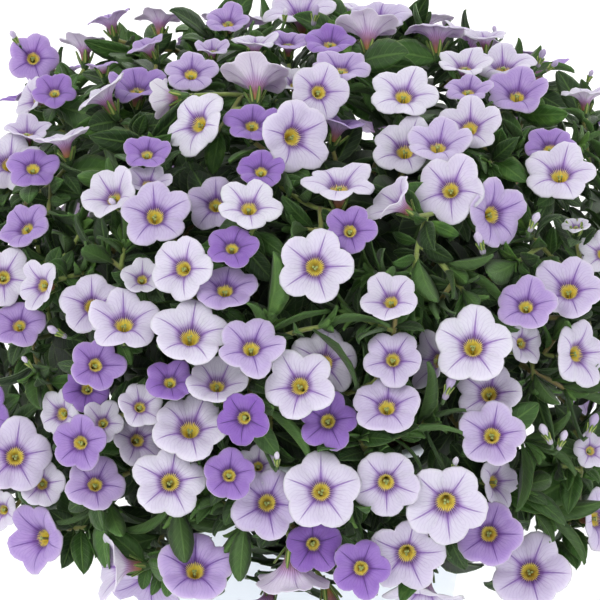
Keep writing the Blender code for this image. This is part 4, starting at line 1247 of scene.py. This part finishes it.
def leaf_toward(base, x, y, number, rng):
    """A leaf from a shoot to a place near a pixel, its upper side to the viewer, and its reach."""
    depth = (base - view_point()).dot(view_axes()[2]) + rng.uniform(-8, 8) * MM
    ray = view_ray(x + rng.uniform(-9, 9), y + rng.uniform(-9, 9))
    gap = view_point() + ray * depth - base
    ahead = gap.normalized()
    turned = random_vector(rng, 0.5) - ray
    leaf = {"base": base, "ahead": ahead, "upper": square_to(ahead, turned), "stem": number}
    leaf["length"] = min(max(gap.length / 0.6, 10 * MM), 26 * MM)
    leaf["width"] = leaf["length"] * rng.uniform(0.45, 0.6)
    return leaf, gap.length


def close_gaps(room, faces, sites, rng):
    """Leaves aimed from the nearest shoots at the thin places."""
    pixels = np.array([in_view(base) for base, _, _ in sites])
    made = []
    for x, y in GAPS:
        near = np.argsort(np.hypot(pixels[:, 0] - x, pixels[:, 1] - y))[:GAP_SITES]
        most = len(made) + GAP_LEAVES
        for base, _, number in [sites[i] for i in near] * 2:
            leaf, reach = leaf_toward(base, x, y, number, rng)
            tip = base + leaf["ahead"] * leaf["length"]
            if len(made) >= most or reach > 19 * MM or mound_level(tip) > 1.03:
                continue
            if take_room(room, faces, leaf):
                made.append(leaf)
    return made


# Young leaves round each leafy tip
CROWN_LEAVES = 8
CROWN_TURN = 137


def crown_leaves(room, faces, tuft, rng):
    """Small young leaves spread round a leafy tip, clear of the blooms."""
    tip = tuft["shoot"][-1]
    along = (tip - tuft["shoot"][-2]).normalized()
    around = along.orthogonal().normalized()
    made = []
    for i in range(CROWN_LEAVES):
        out = Quaternion(along, math.radians(i * CROWN_TURN + rng.uniform(-15, 15))) @ around
        ahead = (out * rng.uniform(0.4, 1.3) + along).normalized()
        leaf = {"base": tip - along * 0.8 * MM, "ahead": ahead, "stem": tuft["stem"]}
        leaf["upper"] = square_to(ahead, along - out * 0.3)
        leaf["length"] = rng.uniform(6, 12) * MM
        leaf["width"] = leaf["length"] * rng.uniform(0.38, 0.5)
        leaf["age"] = rng.uniform(0.7, 1.0)
        if hides_face(faces, leaf) or room.hits(leaf_shape(leaf), lambda held: held["kind"] != "bloom"):
            continue
        made.append(leaf)
    return made


# Buds, as read: x, y, length in pixels, lean right, tint
BUDS = (
    (541, 58, 20, 20, 0.95), (552, 66, 16, 50, 0.95), (315, 15, 22, 10, 0.9), (495, 32, 14, -10, 0.6),
    (590, 76, 14, 20, 0.7), (15, 38, 18, -30, 0.5), (285, 15, 14, 5, 0.0), (480, 243, 22, -20, 0.6),
    (534, 222, 20, 25, 0.3), (115, 205, 16, -40, 0.2), (449, 387, 24, 20, 1.0), (546, 434, 22, -30, 0.3),
    (562, 440, 20, 20, 0.3), (277, 459, 14, 0, 0.05), (455, 465, 16, 10, 0.05), (57, 332, 20, -60, 0.6),
    (27, 362, 14, -40, 0.3), (592, 425, 24, 20, 1.0),
)  # fmt: skip


# Along a bud: share of its length and of its width
BUD_ROWS = (
    (0, 0.5), (0.12, 0.72), (0.3, 0.62), (0.5, 0.66), (0.7, 1.0), (0.85, 0.92), (0.95, 0.55), (1, 0.18),
)  # fmt: skip
BUD_SIDES = 10


def add_bud(pile, bud, rng):
    """A furled, twisted bud on a thin stalk from the nearest shoot."""
    right, up, ahead = view_axes()
    length = bud["length"]
    lean = math.radians(bud["lean"])
    rise = (up * math.cos(lean) + right * math.sin(lean) - ahead * 0.35).normalized()
    foot = bud["middle"] - rise * length * 0.5
    gap = foot - bud["carrier"]
    start = bud["carrier"]
    stalk = bezier(start, start + gap * 0.4, foot - rise * gap.length * 0.35, foot, 6)
    add_rod(pile, stalk, [0.75 * MM] * 7, 6, (0.3, rng.random(), 0.0), LEAF_LOOK)
    turns = circle(BUD_SIDES)
    side = rise.orthogonal().normalized()
    rise_v, side_v, upper_v, foot_v = vectors(rise, side, rise.cross(side), foot)
    away = np.abs(np.cos(2.5 * turns))
    rings = []
    form = []
    for share, wide in BUD_ROWS:
        twist = turns + share * 1.4
        radius = length * 0.17 * wide * (1 + 0.10 * np.cos(5 * turns))
        spokes = np.cos(twist)[:, None] * side_v + np.sin(twist)[:, None] * upper_v
        rings.append(foot_v + rise_v * length * share + radius[:, None] * spokes)
        form.append(np.stack([away, np.full(BUD_SIDES, 0.35 + share * 0.5), np.full(BUD_SIDES, 0.06)], 1))
    pile.add_rings(np.array(rings), np.array(form), (bud["tint"], rng.random(), 1.0), PETAL_LOOK)
    for i in range(5):
        turn = math.radians(72 * i)
        out = side * math.cos(turn) + rise.cross(side) * math.sin(turn)
        ahead = (rise + out * 0.3).normalized()
        sepal = {"base": foot - rise * 0.3 * MM, "ahead": ahead, "upper": square_to(ahead, rise)}
        sepal["length"] = length * 0.62
        sepal["width"] = 1.8 * MM
        sepal["curl"] = 0.05
        add_blade(pile, sepal, rng, 0.3, 1.0)


def place_buds(sites):
    """Each bud's place, and the shoot point that best carries it: near, and not in front of it."""
    buds = []
    for x, y, pixels, lean, tint in BUDS:
        ray = view_ray(x, y)
        middle = mound_hit(x, y) - ray * 2 * MM

        def cost(site):
            gap = site[0] - middle
            return gap.length + 0.5 * max(gap.dot(-ray), 0)

        carrier, _, number = min(sites, key=cost)
        bud = {"middle": middle, "carrier": carrier, "stem": number, "lean": lean, "tint": tint}
        bud["length"] = pixels / VIEW_FOCAL * VIEW_DISTANCE * 0.95
        buds.append(bud)
    return buds


# Soil
SOIL_RINGS = 24
CRUMBS = 420
CRUMB_WIDTHS = ((0.15, 0.4), (0.4, 0.7), (0.35, 0.6))


def add_soil(pile):
    """The crumbly top and the plain side of the root ball."""
    low = POT_FLOOR + 0.5 * MM
    top = pot_inner(SOIL_TOP) - SOIL_GAP - 0.5 * MM
    rows = [(r * top / SOIL_RINGS, SOIL_TOP) for r in range(1, SOIL_RINGS + 1)]
    for share in (0.97, 0.9, 0.6, 0.3, 0):
        height = low + (SOIL_TOP - low) * share
        rows.append((pot_inner(height) - SOIL_GAP - 0.5 * MM, height))
    rows.append((20 * MM, low))
    rings = lathe(rows, 96)
    for points in rings[:SOIL_RINGS]:
        for point in points:
            lump = noise.fractal(Vector(point) * 160, 0.6, 2.1, 4) * 1.3 * MM
            lump += noise.noise(Vector(point) * 35) * 1.2 * MM
            point[2] += min(lump, 1.8 * MM) - 1.9 * MM
    pile.add_rings(rings, np.zeros(rings.shape), (0.5, 0.5, 0.0), 0)


def add_crumbs(pile, rng):
    """Bits of bark and a few pale grains lying on the soil."""
    for _ in range(CRUMBS):
        turn = rng.uniform(0, 6.283)
        radius = math.sqrt(rng.random()) * (pot_inner(SOIL_TOP) - 6 * MM)
        size = rng.uniform(0.8, 2.6) * MM
        middle = Vector((math.cos(turn) * radius, math.sin(turn) * radius, SOIL_TOP - 1.2 * MM + size * 0.3))
        way = random_vector(rng, 1).normalized()
        way.z *= 0.35
        way.normalize()
        points = [middle + way * size * along for along in (-1, -0.5, 0.4, 1)]
        radii = [size * rng.uniform(low, high) for low, high in CRUMB_WIDTHS] + [size * 0.2]
        grain = 1.0 if rng.random() < 0.06 else rng.uniform(0, 0.5)
        add_rod(pile, points, radii, 5, (grain, rng.random(), 1.0), 0)


# Pot
def pot_inner(height):
    slope = (POT_RIM_RADIUS - POT_BASE_RADIUS) / POT_HEIGHT
    return POT_BASE_RADIUS + slope * height - POT_WALL


def add_pot(pile):
    """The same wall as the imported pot, turned fine, with a soft lip and a stepped foot."""
    lip = POT_RIM_RADIUS + POT_LIP
    rim = pot_inner(POT_HEIGHT)
    floor = pot_inner(POT_FLOOR)
    rows = [(2 * MM, POT_FLOOR), (floor - 1 * MM, POT_FLOOR), (floor, POT_FLOOR + 0.6 * MM)]
    rows += [(pot_inner(POT_HEIGHT * k / 8), POT_HEIGHT * k / 8) for k in range(1, 8)]
    rows += [(rim + 0.1 * MM, POT_HEIGHT - 0.5 * MM), (rim + 0.6 * MM, POT_HEIGHT)]
    rows += [(lip - 0.5 * MM, POT_HEIGHT), (lip, POT_HEIGHT - 0.6 * MM), (lip, POT_HEIGHT - 3.4 * MM)]
    rows += [(lip - 0.5 * MM, POT_HEIGHT - 4 * MM), (POT_RIM_RADIUS - 0.45 * MM, POT_HEIGHT - 5 * MM)]
    for k in range(1, 12):
        share = k / 12
        radius = POT_RIM_RADIUS - 0.5 * MM + (POT_BASE_RADIUS + 0.7 * MM - POT_RIM_RADIUS) * share
        rows.append((radius, POT_HEIGHT - 5 * MM + (6.5 * MM - POT_HEIGHT) * share))
    rows += [(POT_BASE_RADIUS + 0.1 * MM, 1.2 * MM), (POT_BASE_RADIUS - 0.6 * MM, 0.3 * MM)]
    rows += [(POT_BASE_RADIUS - 1.5 * MM, 0.0), (POT_BASE_RADIUS - 6 * MM, 0.0)]
    rows += [(POT_BASE_RADIUS - 7 * MM, 0.5 * MM), (14 * MM, 0.5 * MM), (13 * MM, 0.0), (2 * MM, 0.0)]
    rings = lathe(rows, 128)
    pile.add_rings(rings, np.zeros(rings.shape), (0.5, 0.5, 0.0), 0)


def cut_drains(pot):
    for i in range(DRAIN_HOLES):
        turn = 2 * math.pi * i / DRAIN_HOLES + 0.3
        place = (DRAIN_CIRCLE * math.cos(turn), DRAIN_CIRCLE * math.sin(turn), 0)
        depth = 4 * POT_FLOOR
        bpy.ops.mesh.primitive_cylinder_add(vertices=24, radius=DRAIN_RADIUS, depth=depth, location=place)
        cutter = bpy.context.object
        modifier = pot.modifiers.new("Drain", "BOOLEAN")
        modifier.operation = "DIFFERENCE"
        modifier.solver = "EXACT"
        modifier.object = cutter
        graph = bpy.context.evaluated_depsgraph_get()
        mesh = bpy.data.meshes.new_from_object(pot.evaluated_get(graph))
        pot.modifiers.clear()
        pot.data = mesh
        bpy.data.objects.remove(cutter, do_unlink=True)


# Materials
class Value:
    """One output in a material's nodes, with arithmetic. The sums below follow its operators."""

    def __init__(self, nodes, socket):
        self.nodes = nodes
        self.socket = socket

    def __add__(self, other):
        return self.nodes.math("ADD", self, other)

    def __sub__(self, other):
        return self.nodes.math("SUBTRACT", self, other)

    def __rsub__(self, other):
        return self.nodes.math("SUBTRACT", other, self)

    def __mul__(self, other):
        return self.nodes.math("MULTIPLY", self, other)

    def __truediv__(self, other):
        return self.nodes.math("DIVIDE", self, other)

    def __pow__(self, other):
        return self.nodes.math("POWER", self, other)

    def __abs__(self):
        return self.nodes.math("ABSOLUTE", self)


class Nodes:
    """A short way to write a material's nodes. A colour is a string of six hex digits."""

    def __init__(self, name):
        self.material = bpy.data.materials.new(name)
        self.material.use_nodes = True
        self.tree = self.material.node_tree
        self.shader = self.tree.nodes["Principled BSDF"]

    def put(self, socket, value):
        if isinstance(value, Value):
            self.tree.links.new(value.socket, socket)
        elif isinstance(value, str):
            socket.default_value = (*srgb(value), 1)
        else:
            socket.default_value = value

    def add(self, kind, values, output=0, places=None, **settings):
        """A node with its settings and its inputs filled."""
        node = self.tree.nodes.new("ShaderNode" + kind)
        for name, setting in settings.items():
            setattr(node, name, setting)
        for place, value in zip(places or range(len(values)), values):
            self.put(node.inputs[place], value)
        return Value(self, node.outputs[output])

    def math(self, operation, *values, clamp=False):
        return self.add("Math", values, operation=operation, use_clamp=clamp)

    def fract(self, value):
        return self.math("FRACT", value)

    def larger(self, one, other):
        return self.math("MAXIMUM", one, other)

    def band(self, value, low, high, floor=0.0, top=1.0):
        """Goes smoothly from floor to top as the value goes from low to high."""
        return self.add("MapRange", (value, low, high, floor, top), interpolation_type="SMOOTHSTEP")

    def stripe(self, value, width, strength):
        """A soft line where the value, from 0 to 1, is near its middle."""
        return self.band(abs(value - 0.5), 0.0, width, strength, 0.0)

    def mix(self, share, one, other):
        return self.add("Mix", (share, one, other), 2, (0, 6, 7), data_type="RGBA")

    def ramp(self, value, *stops):
        made = self.add("ValToRGB", (value,))
        ramp = made.socket.node.color_ramp
        while len(ramp.elements) < len(stops):
            ramp.elements.new(0.5)
        for element, (place, colour) in zip(ramp.elements, stops):
            element.position = place
            element.color = (*srgb(colour), 1)
        return made

    def parts(self, key):
        """The three numbers of a point attribute."""
        vector = self.add("Attribute", (), "Vector", attribute_name=key)
        split = self.add("SeparateXYZ", (vector,)).socket.node
        return [Value(self, output) for output in split.outputs]

    def speckle(self, scale, detail=2.0):
        place = self.add("TexCoord", (), "Object")
        return self.add("TexNoise", (place, scale, detail), 0, ("Vector", "Scale", "Detail"))

    def bump(self, height, strength, distance):
        values = (height, strength, distance)
        made = self.add("Bump", values, 0, ("Height", "Strength", "Distance"))
        self.put(self.shader.inputs["Normal"], made)

    def finish(self, colour, roughness, **settings):
        """Fills the shader. A setting's name has _ for each space."""
        self.put(self.shader.inputs["Base Color"], colour)
        self.put(self.shader.inputs["Roughness"], roughness)
        for name, value in settings.items():
            self.put(self.shader.inputs[name.replace("_", " ")], value)
        return self.material


def srgb(code):
    """A colour from its six hex digits, in linear light."""
    parts = [int(code[i : i + 2], 16) / 255 for i in (0, 2, 4)]
    return tuple(p / 12.92 if p < 0.04045 else ((p + 0.055) / 1.055) ** 2.4 for p in parts)


def petal_colours(n, shade, tint, reach):
    """The blade's own colour with its paler edge and violet halo, and its violet."""
    pale = ((0.0, "C6C3D2"), (0.12, "BDB7CB"), (0.35, "AFA4C3"))
    base = n.ramp(shade, *pale, (0.55, "9F8CBA"), (0.8, "8567AB"), (1.0, "70479E"))
    violet = n.ramp(shade, (0.0, "9570B8"), (0.5, "70459E"), (1.0, "4C267C"))
    edge = n.band(reach, 0.80, 1.02, 0.0, 0.45) * (1.0 - tint)
    base = n.mix(edge, base, "CDC8D6")
    halo = n.band(reach, 0.20, 0.50, 0.85, 0.0)
    return n.mix(halo, base, violet), violet


def petal_veins(n, away, reach, wave, lateral):
    """A strong vein down each lobe, finer ones that leave it, and faint long ones."""
    width = 0.040 - reach * 0.026
    middle = n.math("SUBTRACT", 1.0, lateral / width, clamp=True)
    middle = middle**0.6 * n.band(reach, 0.70, 1.0, 1.0, 0.12)
    run = n.fract(reach * 5.0 - away * 5.5 + wave * 4.0)
    branch = n.stripe(run, 0.13, 1.0) * n.band(reach, 0.25, 0.45, 0.0, 0.20)
    branch = branch * n.band(reach, 0.8, 1.0, 1.0, 0.2)
    long = n.stripe(n.fract(away * 3.0 + wave * 2.5), 0.16, 1.0) * n.band(reach, 0.2, 0.85, 0.62, 0.0)
    return n.larger(n.larger(middle, branch), long)


def petal_front(n, base, reach, deep, streak):
    """The throat: a dark ring, then gold with brown streaks."""
    gold = n.mix(streak * n.band(reach, 0.10, 0.20, 0.15, 0.60), "EBD552", "705414")
    uneven = reach + (n.speckle(900, 2) - 0.5) * 0.10 + streak * 0.03
    ring = n.band(uneven, 0.17, 0.23, 0.0, 1.0) * n.band(uneven, 0.25, 0.42, 1.0, 0.0)
    ring = ring * (streak * 0.45 + 0.42)
    front = n.mix(ring, base, "36184A")
    front = n.mix(n.band(uneven, 0.18, 0.27, 1.0, 0.0), front, gold)
    return n.mix(n.band(deep, 0.70, 0.90, 0.0, 0.6), front, "5A5018")


def petal_back(n, base, deep, veins, streak):
    """Paled halfway to pale grey-lilac, as painted light for light shining through the thin petal, and the
    tube turns from violet brown to olive.
    """
    # Painted light: the back of the petal is mixed halfway to pale grey-lilac, standing in for light shining
    # through it.
    behind = n.mix(0.50, base, "C8C4CC")
    behind = n.mix(veins * 0.40, behind, "5A4570")
    tube = n.ramp(deep, (0.18, "A88DB4"), (0.4, "98687C"), (0.7, "B07A48"), (1.0, "A3A656"))
    tube = n.mix(streak * 0.45, tube, "4A2A30")
    return n.mix(n.band(deep, 0.09, 0.24, 0.0, 1.0), behind, tube)


def petal_material():
    n = Nodes("petal")
    away, reach, deep = n.parts("form")
    tint, chance, back = n.parts("tone")
    cloud = n.speckle(160, 3)
    shade = tint + (cloud - 0.5) * 0.22
    shade = n.math("ADD", shade, (chance - 0.5) * 0.08, clamp=True)
    base, violet = petal_colours(n, shade, tint, reach)
    wave = (cloud - 0.5) * 0.16
    lateral = away * reach * 0.63 + wave * 0.06
    star = n.band(lateral, 0.0, 0.12, 0.45, 0.0) * n.band(reach, 0.35, 0.80, 1.0, 0.0)
    base = n.mix(star, base, violet)
    veins = petal_veins(n, away, reach, wave, lateral)
    dark = n.ramp(shade, (0.0, "6A3C92"), (0.5, "4A2078"), (1.0, "2E1450"))
    base = n.mix(veins * 0.85, base, dark)
    streak = n.band(abs(n.math("SINE", away * 9.4)), 0.45, 0.95, 0.0, 1.0)
    front = petal_front(n, base, reach, deep, streak)
    behind = petal_back(n, base, deep, veins, streak)
    n.bump(n.speckle(2600, 2) * 0.35 - veins, 0.45, 0.0003)
    return n.finish(
        n.mix(back, front, behind),
        0.55,
        Subsurface_Radius=(0.9, 0.7, 1.0),
        Subsurface_Scale=0.0022,
        Subsurface_Weight=0.5,
        Sheen_Weight=0.12,
        Specular_IOR_Level=0.3,
    )


def leaf_material():
    n = Nodes("leaf")
    across, along, under = n.parts("form")
    age, _, kind = n.parts("tone")
    side = abs(across)
    # The green runs from dark to light with the first tone number: painted shade on inner leaves, paler young
    # leaves, and random tone.
    shade = n.math("ADD", age * 0.8, (n.speckle(260, 3) - 0.4) * 0.5, clamp=True)
    base = n.ramp(shade, (0.0, "11260A"), (0.35, "1F3912"), (0.7, "365B1F"), (1.0, "648A35"))
    vein = n.stripe(n.fract(along * 8.0 - side * 1.9), 0.12, 0.30)
    lines = n.larger(n.band(side, 0.03, 0.12, 0.65, 0.0), vein)
    base = n.mix(lines * 0.5, base, "6F9448")
    base = n.mix(n.band(side, 0.88, 1.0, 0.0, 0.3), base, "789A52")
    base = n.mix(under * 0.35, base, "5F8046")
    sepal = n.mix(n.band(side, 0.15, 0.5, 0.7, 0.0), "56752F", "B9BE6A")
    n.bump(n.speckle(3200, 2) * 0.6 - lines, 0.6, 0.0004)
    return n.finish(
        n.mix(kind * 0.85, base, sepal),
        0.5,
        Subsurface_Radius=(0.5, 0.9, 0.2),
        Subsurface_Scale=0.0015,
        Subsurface_Weight=0.12,
        Sheen_Weight=0.08,
        Specular_IOR_Level=0.3,
    )


def stem_material():
    n = Nodes("stem")
    red, _, _ = n.parts("tone")
    shade = red * 0.7 + n.speckle(420, 3) * 0.4
    base = n.ramp(shade, (0.0, "9DAA5A"), (0.35, "74863C"), (0.7, "7A6238"), (1.0, "54402A"))
    n.bump(n.speckle(3000, 2), 0.5, 0.0003)
    return n.finish(base, 0.6, Sheen_Weight=0.3)


def soil_material():
    n = Nodes("soil")
    grain, _, loose = n.parts("tone")
    fine = n.speckle(900, 5)
    base = n.ramp(fine, (0.3, "1B110A"), (0.5, "3A271A"), (0.72, "5E4430"))
    chip = n.ramp(grain + fine * 0.2, (0.0, "2A1A10"), (0.5, "6B4D33"), (1.0, "CFC6B8"))
    n.bump(fine, 0.9, 0.0012)
    return n.finish(n.mix(loose, base, chip), 0.95)


def pot_material():
    n = Nodes("pot_plastic")
    fine = n.speckle(1400, 3)
    broad = n.speckle(14, 2)
    n.bump(fine + broad * 0.8, 0.10, 0.0003)
    return n.finish(n.mix(broad * 0.5, "E0E8F1", "E8EEF5"), fine * 0.12 + 0.30, Subsurface_Weight=0.0)


def floor_material():
    n = Nodes("floor_paper")
    base = n.mix(n.speckle(60, 2) * 0.25, (0.94, 0.94, 0.945, 1), (0.9259, 0.9259, 0.930825, 1))
    return n.finish(base, 0.9, Emission_Color=(1, 1, 1, 1), Emission_Strength=0.18)


# Stage: radius and height of the floor, which curves up into a wall
FLOOR_RADIUS = 2.0
FLOOR_CURVE = 0.8
WALL_TOP = 3.5
FLOOR_DROP = 0.2 * MM
FLOOR_SIDES = 64
AIR_LIGHT = 0.52
LIGHT_TARGET = Vector((0, 0, 0.2))

# Lights: name, place, size, energy, colour
LIGHTS = (
    ("key", (-0.9, -1.3, 1.9), 1.2, 25, (1.0, 0.99, 0.97)),
    ("fill", (1.4, -1.0, 1.1), 1.6, 6, (0.97, 0.98, 1.0)),
    ("back", (0.3, 1.5, 1.6), 1.6, 11, (1.0, 1.0, 1.0)),
)


def add_object(name, data):
    made = bpy.data.objects.new(name, data)
    bpy.context.scene.collection.objects.link(made)
    return made


def add_light(name, place, size, energy, colour):
    light = bpy.data.lights.new(name, "AREA")
    light.shape = "DISK"
    light.size = size
    light.energy = energy
    light.color = colour
    made = add_object(name, light)
    made.location = place
    made.rotation_euler = (LIGHT_TARGET - made.location).to_track_quat("-Z", "Y").to_euler()


def set_camera():
    right, up, ahead = view_axes()
    data = bpy.data.cameras.new("camera")
    data.sensor_width = 36
    data.lens = VIEW_FOCAL / VIEW_SIZE * data.sensor_width
    data.clip_end = 50
    camera = add_object("camera", data)
    turn = Matrix((right, up, -ahead)).transposed()
    camera.matrix_world = Matrix.Translation(view_point()) @ turn.to_4x4()
    bpy.context.scene.camera = camera


def floor_mesh():
    """A round floor with a wall that rises round it, seen from within."""
    rows = [(1.2, 0.0), (FLOOR_RADIUS, 0.0)]
    for angle in (0.3, 0.6, 0.9, 1.2, 1.5):
        rise = FLOOR_CURVE - FLOOR_CURVE * math.cos(angle)
        rows.append((FLOOR_RADIUS + FLOOR_CURVE * math.sin(angle), rise))
    rows.append((FLOOR_RADIUS + FLOOR_CURVE, WALL_TOP))
    faces = [tuple(range(FLOOR_SIDES))]
    for low in range(0, (len(rows) - 1) * FLOOR_SIDES, FLOOR_SIDES):
        for i in range(FLOOR_SIDES):
            here = low + i
            beside = low + (i + 1) % FLOOR_SIDES
            faces.append((beside, here, here + FLOOR_SIDES, beside + FLOOR_SIDES))
    mesh = bpy.data.meshes.new("floor")
    mesh.from_pydata(lathe(rows, FLOOR_SIDES).reshape(-1, 3).tolist(), [], faces)
    mesh.polygons.foreach_set("use_smooth", np.ones(len(faces), bool))
    mesh.materials.append(floor_material())
    return mesh


def set_stage():
    floor = add_object("floor", floor_mesh())
    floor.location.z = -FLOOR_DROP
    floor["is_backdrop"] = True
    world = bpy.data.worlds.new("studio")
    world.use_nodes = True
    world.node_tree.nodes["Background"].inputs["Color"].default_value = (1, 1, 1, 1)
    world.node_tree.nodes["Background"].inputs["Strength"].default_value = AIR_LIGHT
    bpy.context.scene.world = world
    bpy.context.scene.view_settings.view_transform = "Standard"
    for light in LIGHTS:
        add_light(*light)


# Pieces
def add_stem_rods(pile, stem, pieces, rng):
    """The main stem and the side shoots that carry blooms and leafy tips."""
    path = smooth_path(stem["path"], 3)
    radii = [STEM_RADIUS * (1 - 0.5 * k / (len(path) - 1)) for k in range(len(path))]
    add_rod(pile, path, radii, 10, (0.55, rng.random(), 0.0), STEM_LOOK)
    for piece in pieces:
        steps = smooth_path(piece["shoot"], 6)
        if "radius" in piece:
            steps.append(bloom_foot(piece, 0.95))
        radii = [SHOOT_RADIUS * (1.1 - 0.25 * k / len(steps)) for k in range(len(steps))]
        add_rod(pile, steps, radii, 7, (rng.uniform(0.1, 0.6), rng.random(), 0.0), STEM_LOOK)


def dress_stems(stems, blooms, tufts, leaves, buds):
    rng = random.Random(SEED + 7)
    looks = (petal_material(), leaf_material(), stem_material())
    number = 0
    for i, stem in enumerate(stems):
        own_blooms, own_tufts, own_leaves, own_buds = (
            [item for item in items if item["stem"] == i] for items in (blooms, tufts, leaves, buds)
        )
        if not own_blooms and not own_tufts:
            continue
        number += 1
        pile = Pile()
        add_stem_rods(pile, stem, own_blooms + own_tufts, rng)
        for bloom in own_blooms:
            add_corolla(pile, bloom, rng)
            add_calyx(pile, bloom, rng)
            if bloom["seen"]:
                add_pistil(pile, bloom, rng)
        for leaf in [leaf for tuft in own_tufts for leaf in tuft["leaves"]] + own_leaves:
            add_blade(pile, leaf, rng)
        for bud in own_buds:
            add_bud(pile, bud, rng)
        node = f"leafy_stem_{number:02d}"
        piece = pile.make(f"flowering_stem_{number:02d}", looks)
        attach(piece, "root")
        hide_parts(node)


def grow_leaves(room, stems, blooms, tufts):
    """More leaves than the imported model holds."""
    faces = faces_seen(blooms)
    leaves = fill_leaves(room, faces, leaf_sites(stems, blooms, tufts), random.Random(SEED + 3))
    leaves += close_gaps(room, faces, leaf_sites(stems, blooms, tufts), random.Random(SEED + 4))
    rng = random.Random(SEED + 5)
    for tuft in tufts:
        leaves += crown_leaves(room, faces, tuft, rng)
    return leaves


def main():
    for obj in list(bpy.data.objects):
        bpy.data.objects.remove(obj, do_unlink=True)
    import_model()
    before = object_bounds()
    set_camera()
    set_stage()
    stems, blooms, tufts, room = lay_out()
    leaves = grow_leaves(room, stems, blooms, tufts)
    dress_stems(stems, blooms, tufts, leaves, place_buds(leaf_sites([], blooms, tufts)))
    pile = Pile()
    add_pot(pile)
    pot = pile.make("round_pot", (pot_material(),))
    cut_drains(pot)
    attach(pot, "root")
    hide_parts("pot")
    pile = Pile()
    add_soil(pile)
    add_crumbs(pile, random.Random(SEED + 11))
    soil = pile.make("potting_mix", (soil_material(),))
    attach(soil, "root")
    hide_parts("soil")
    return before


box_before = main()
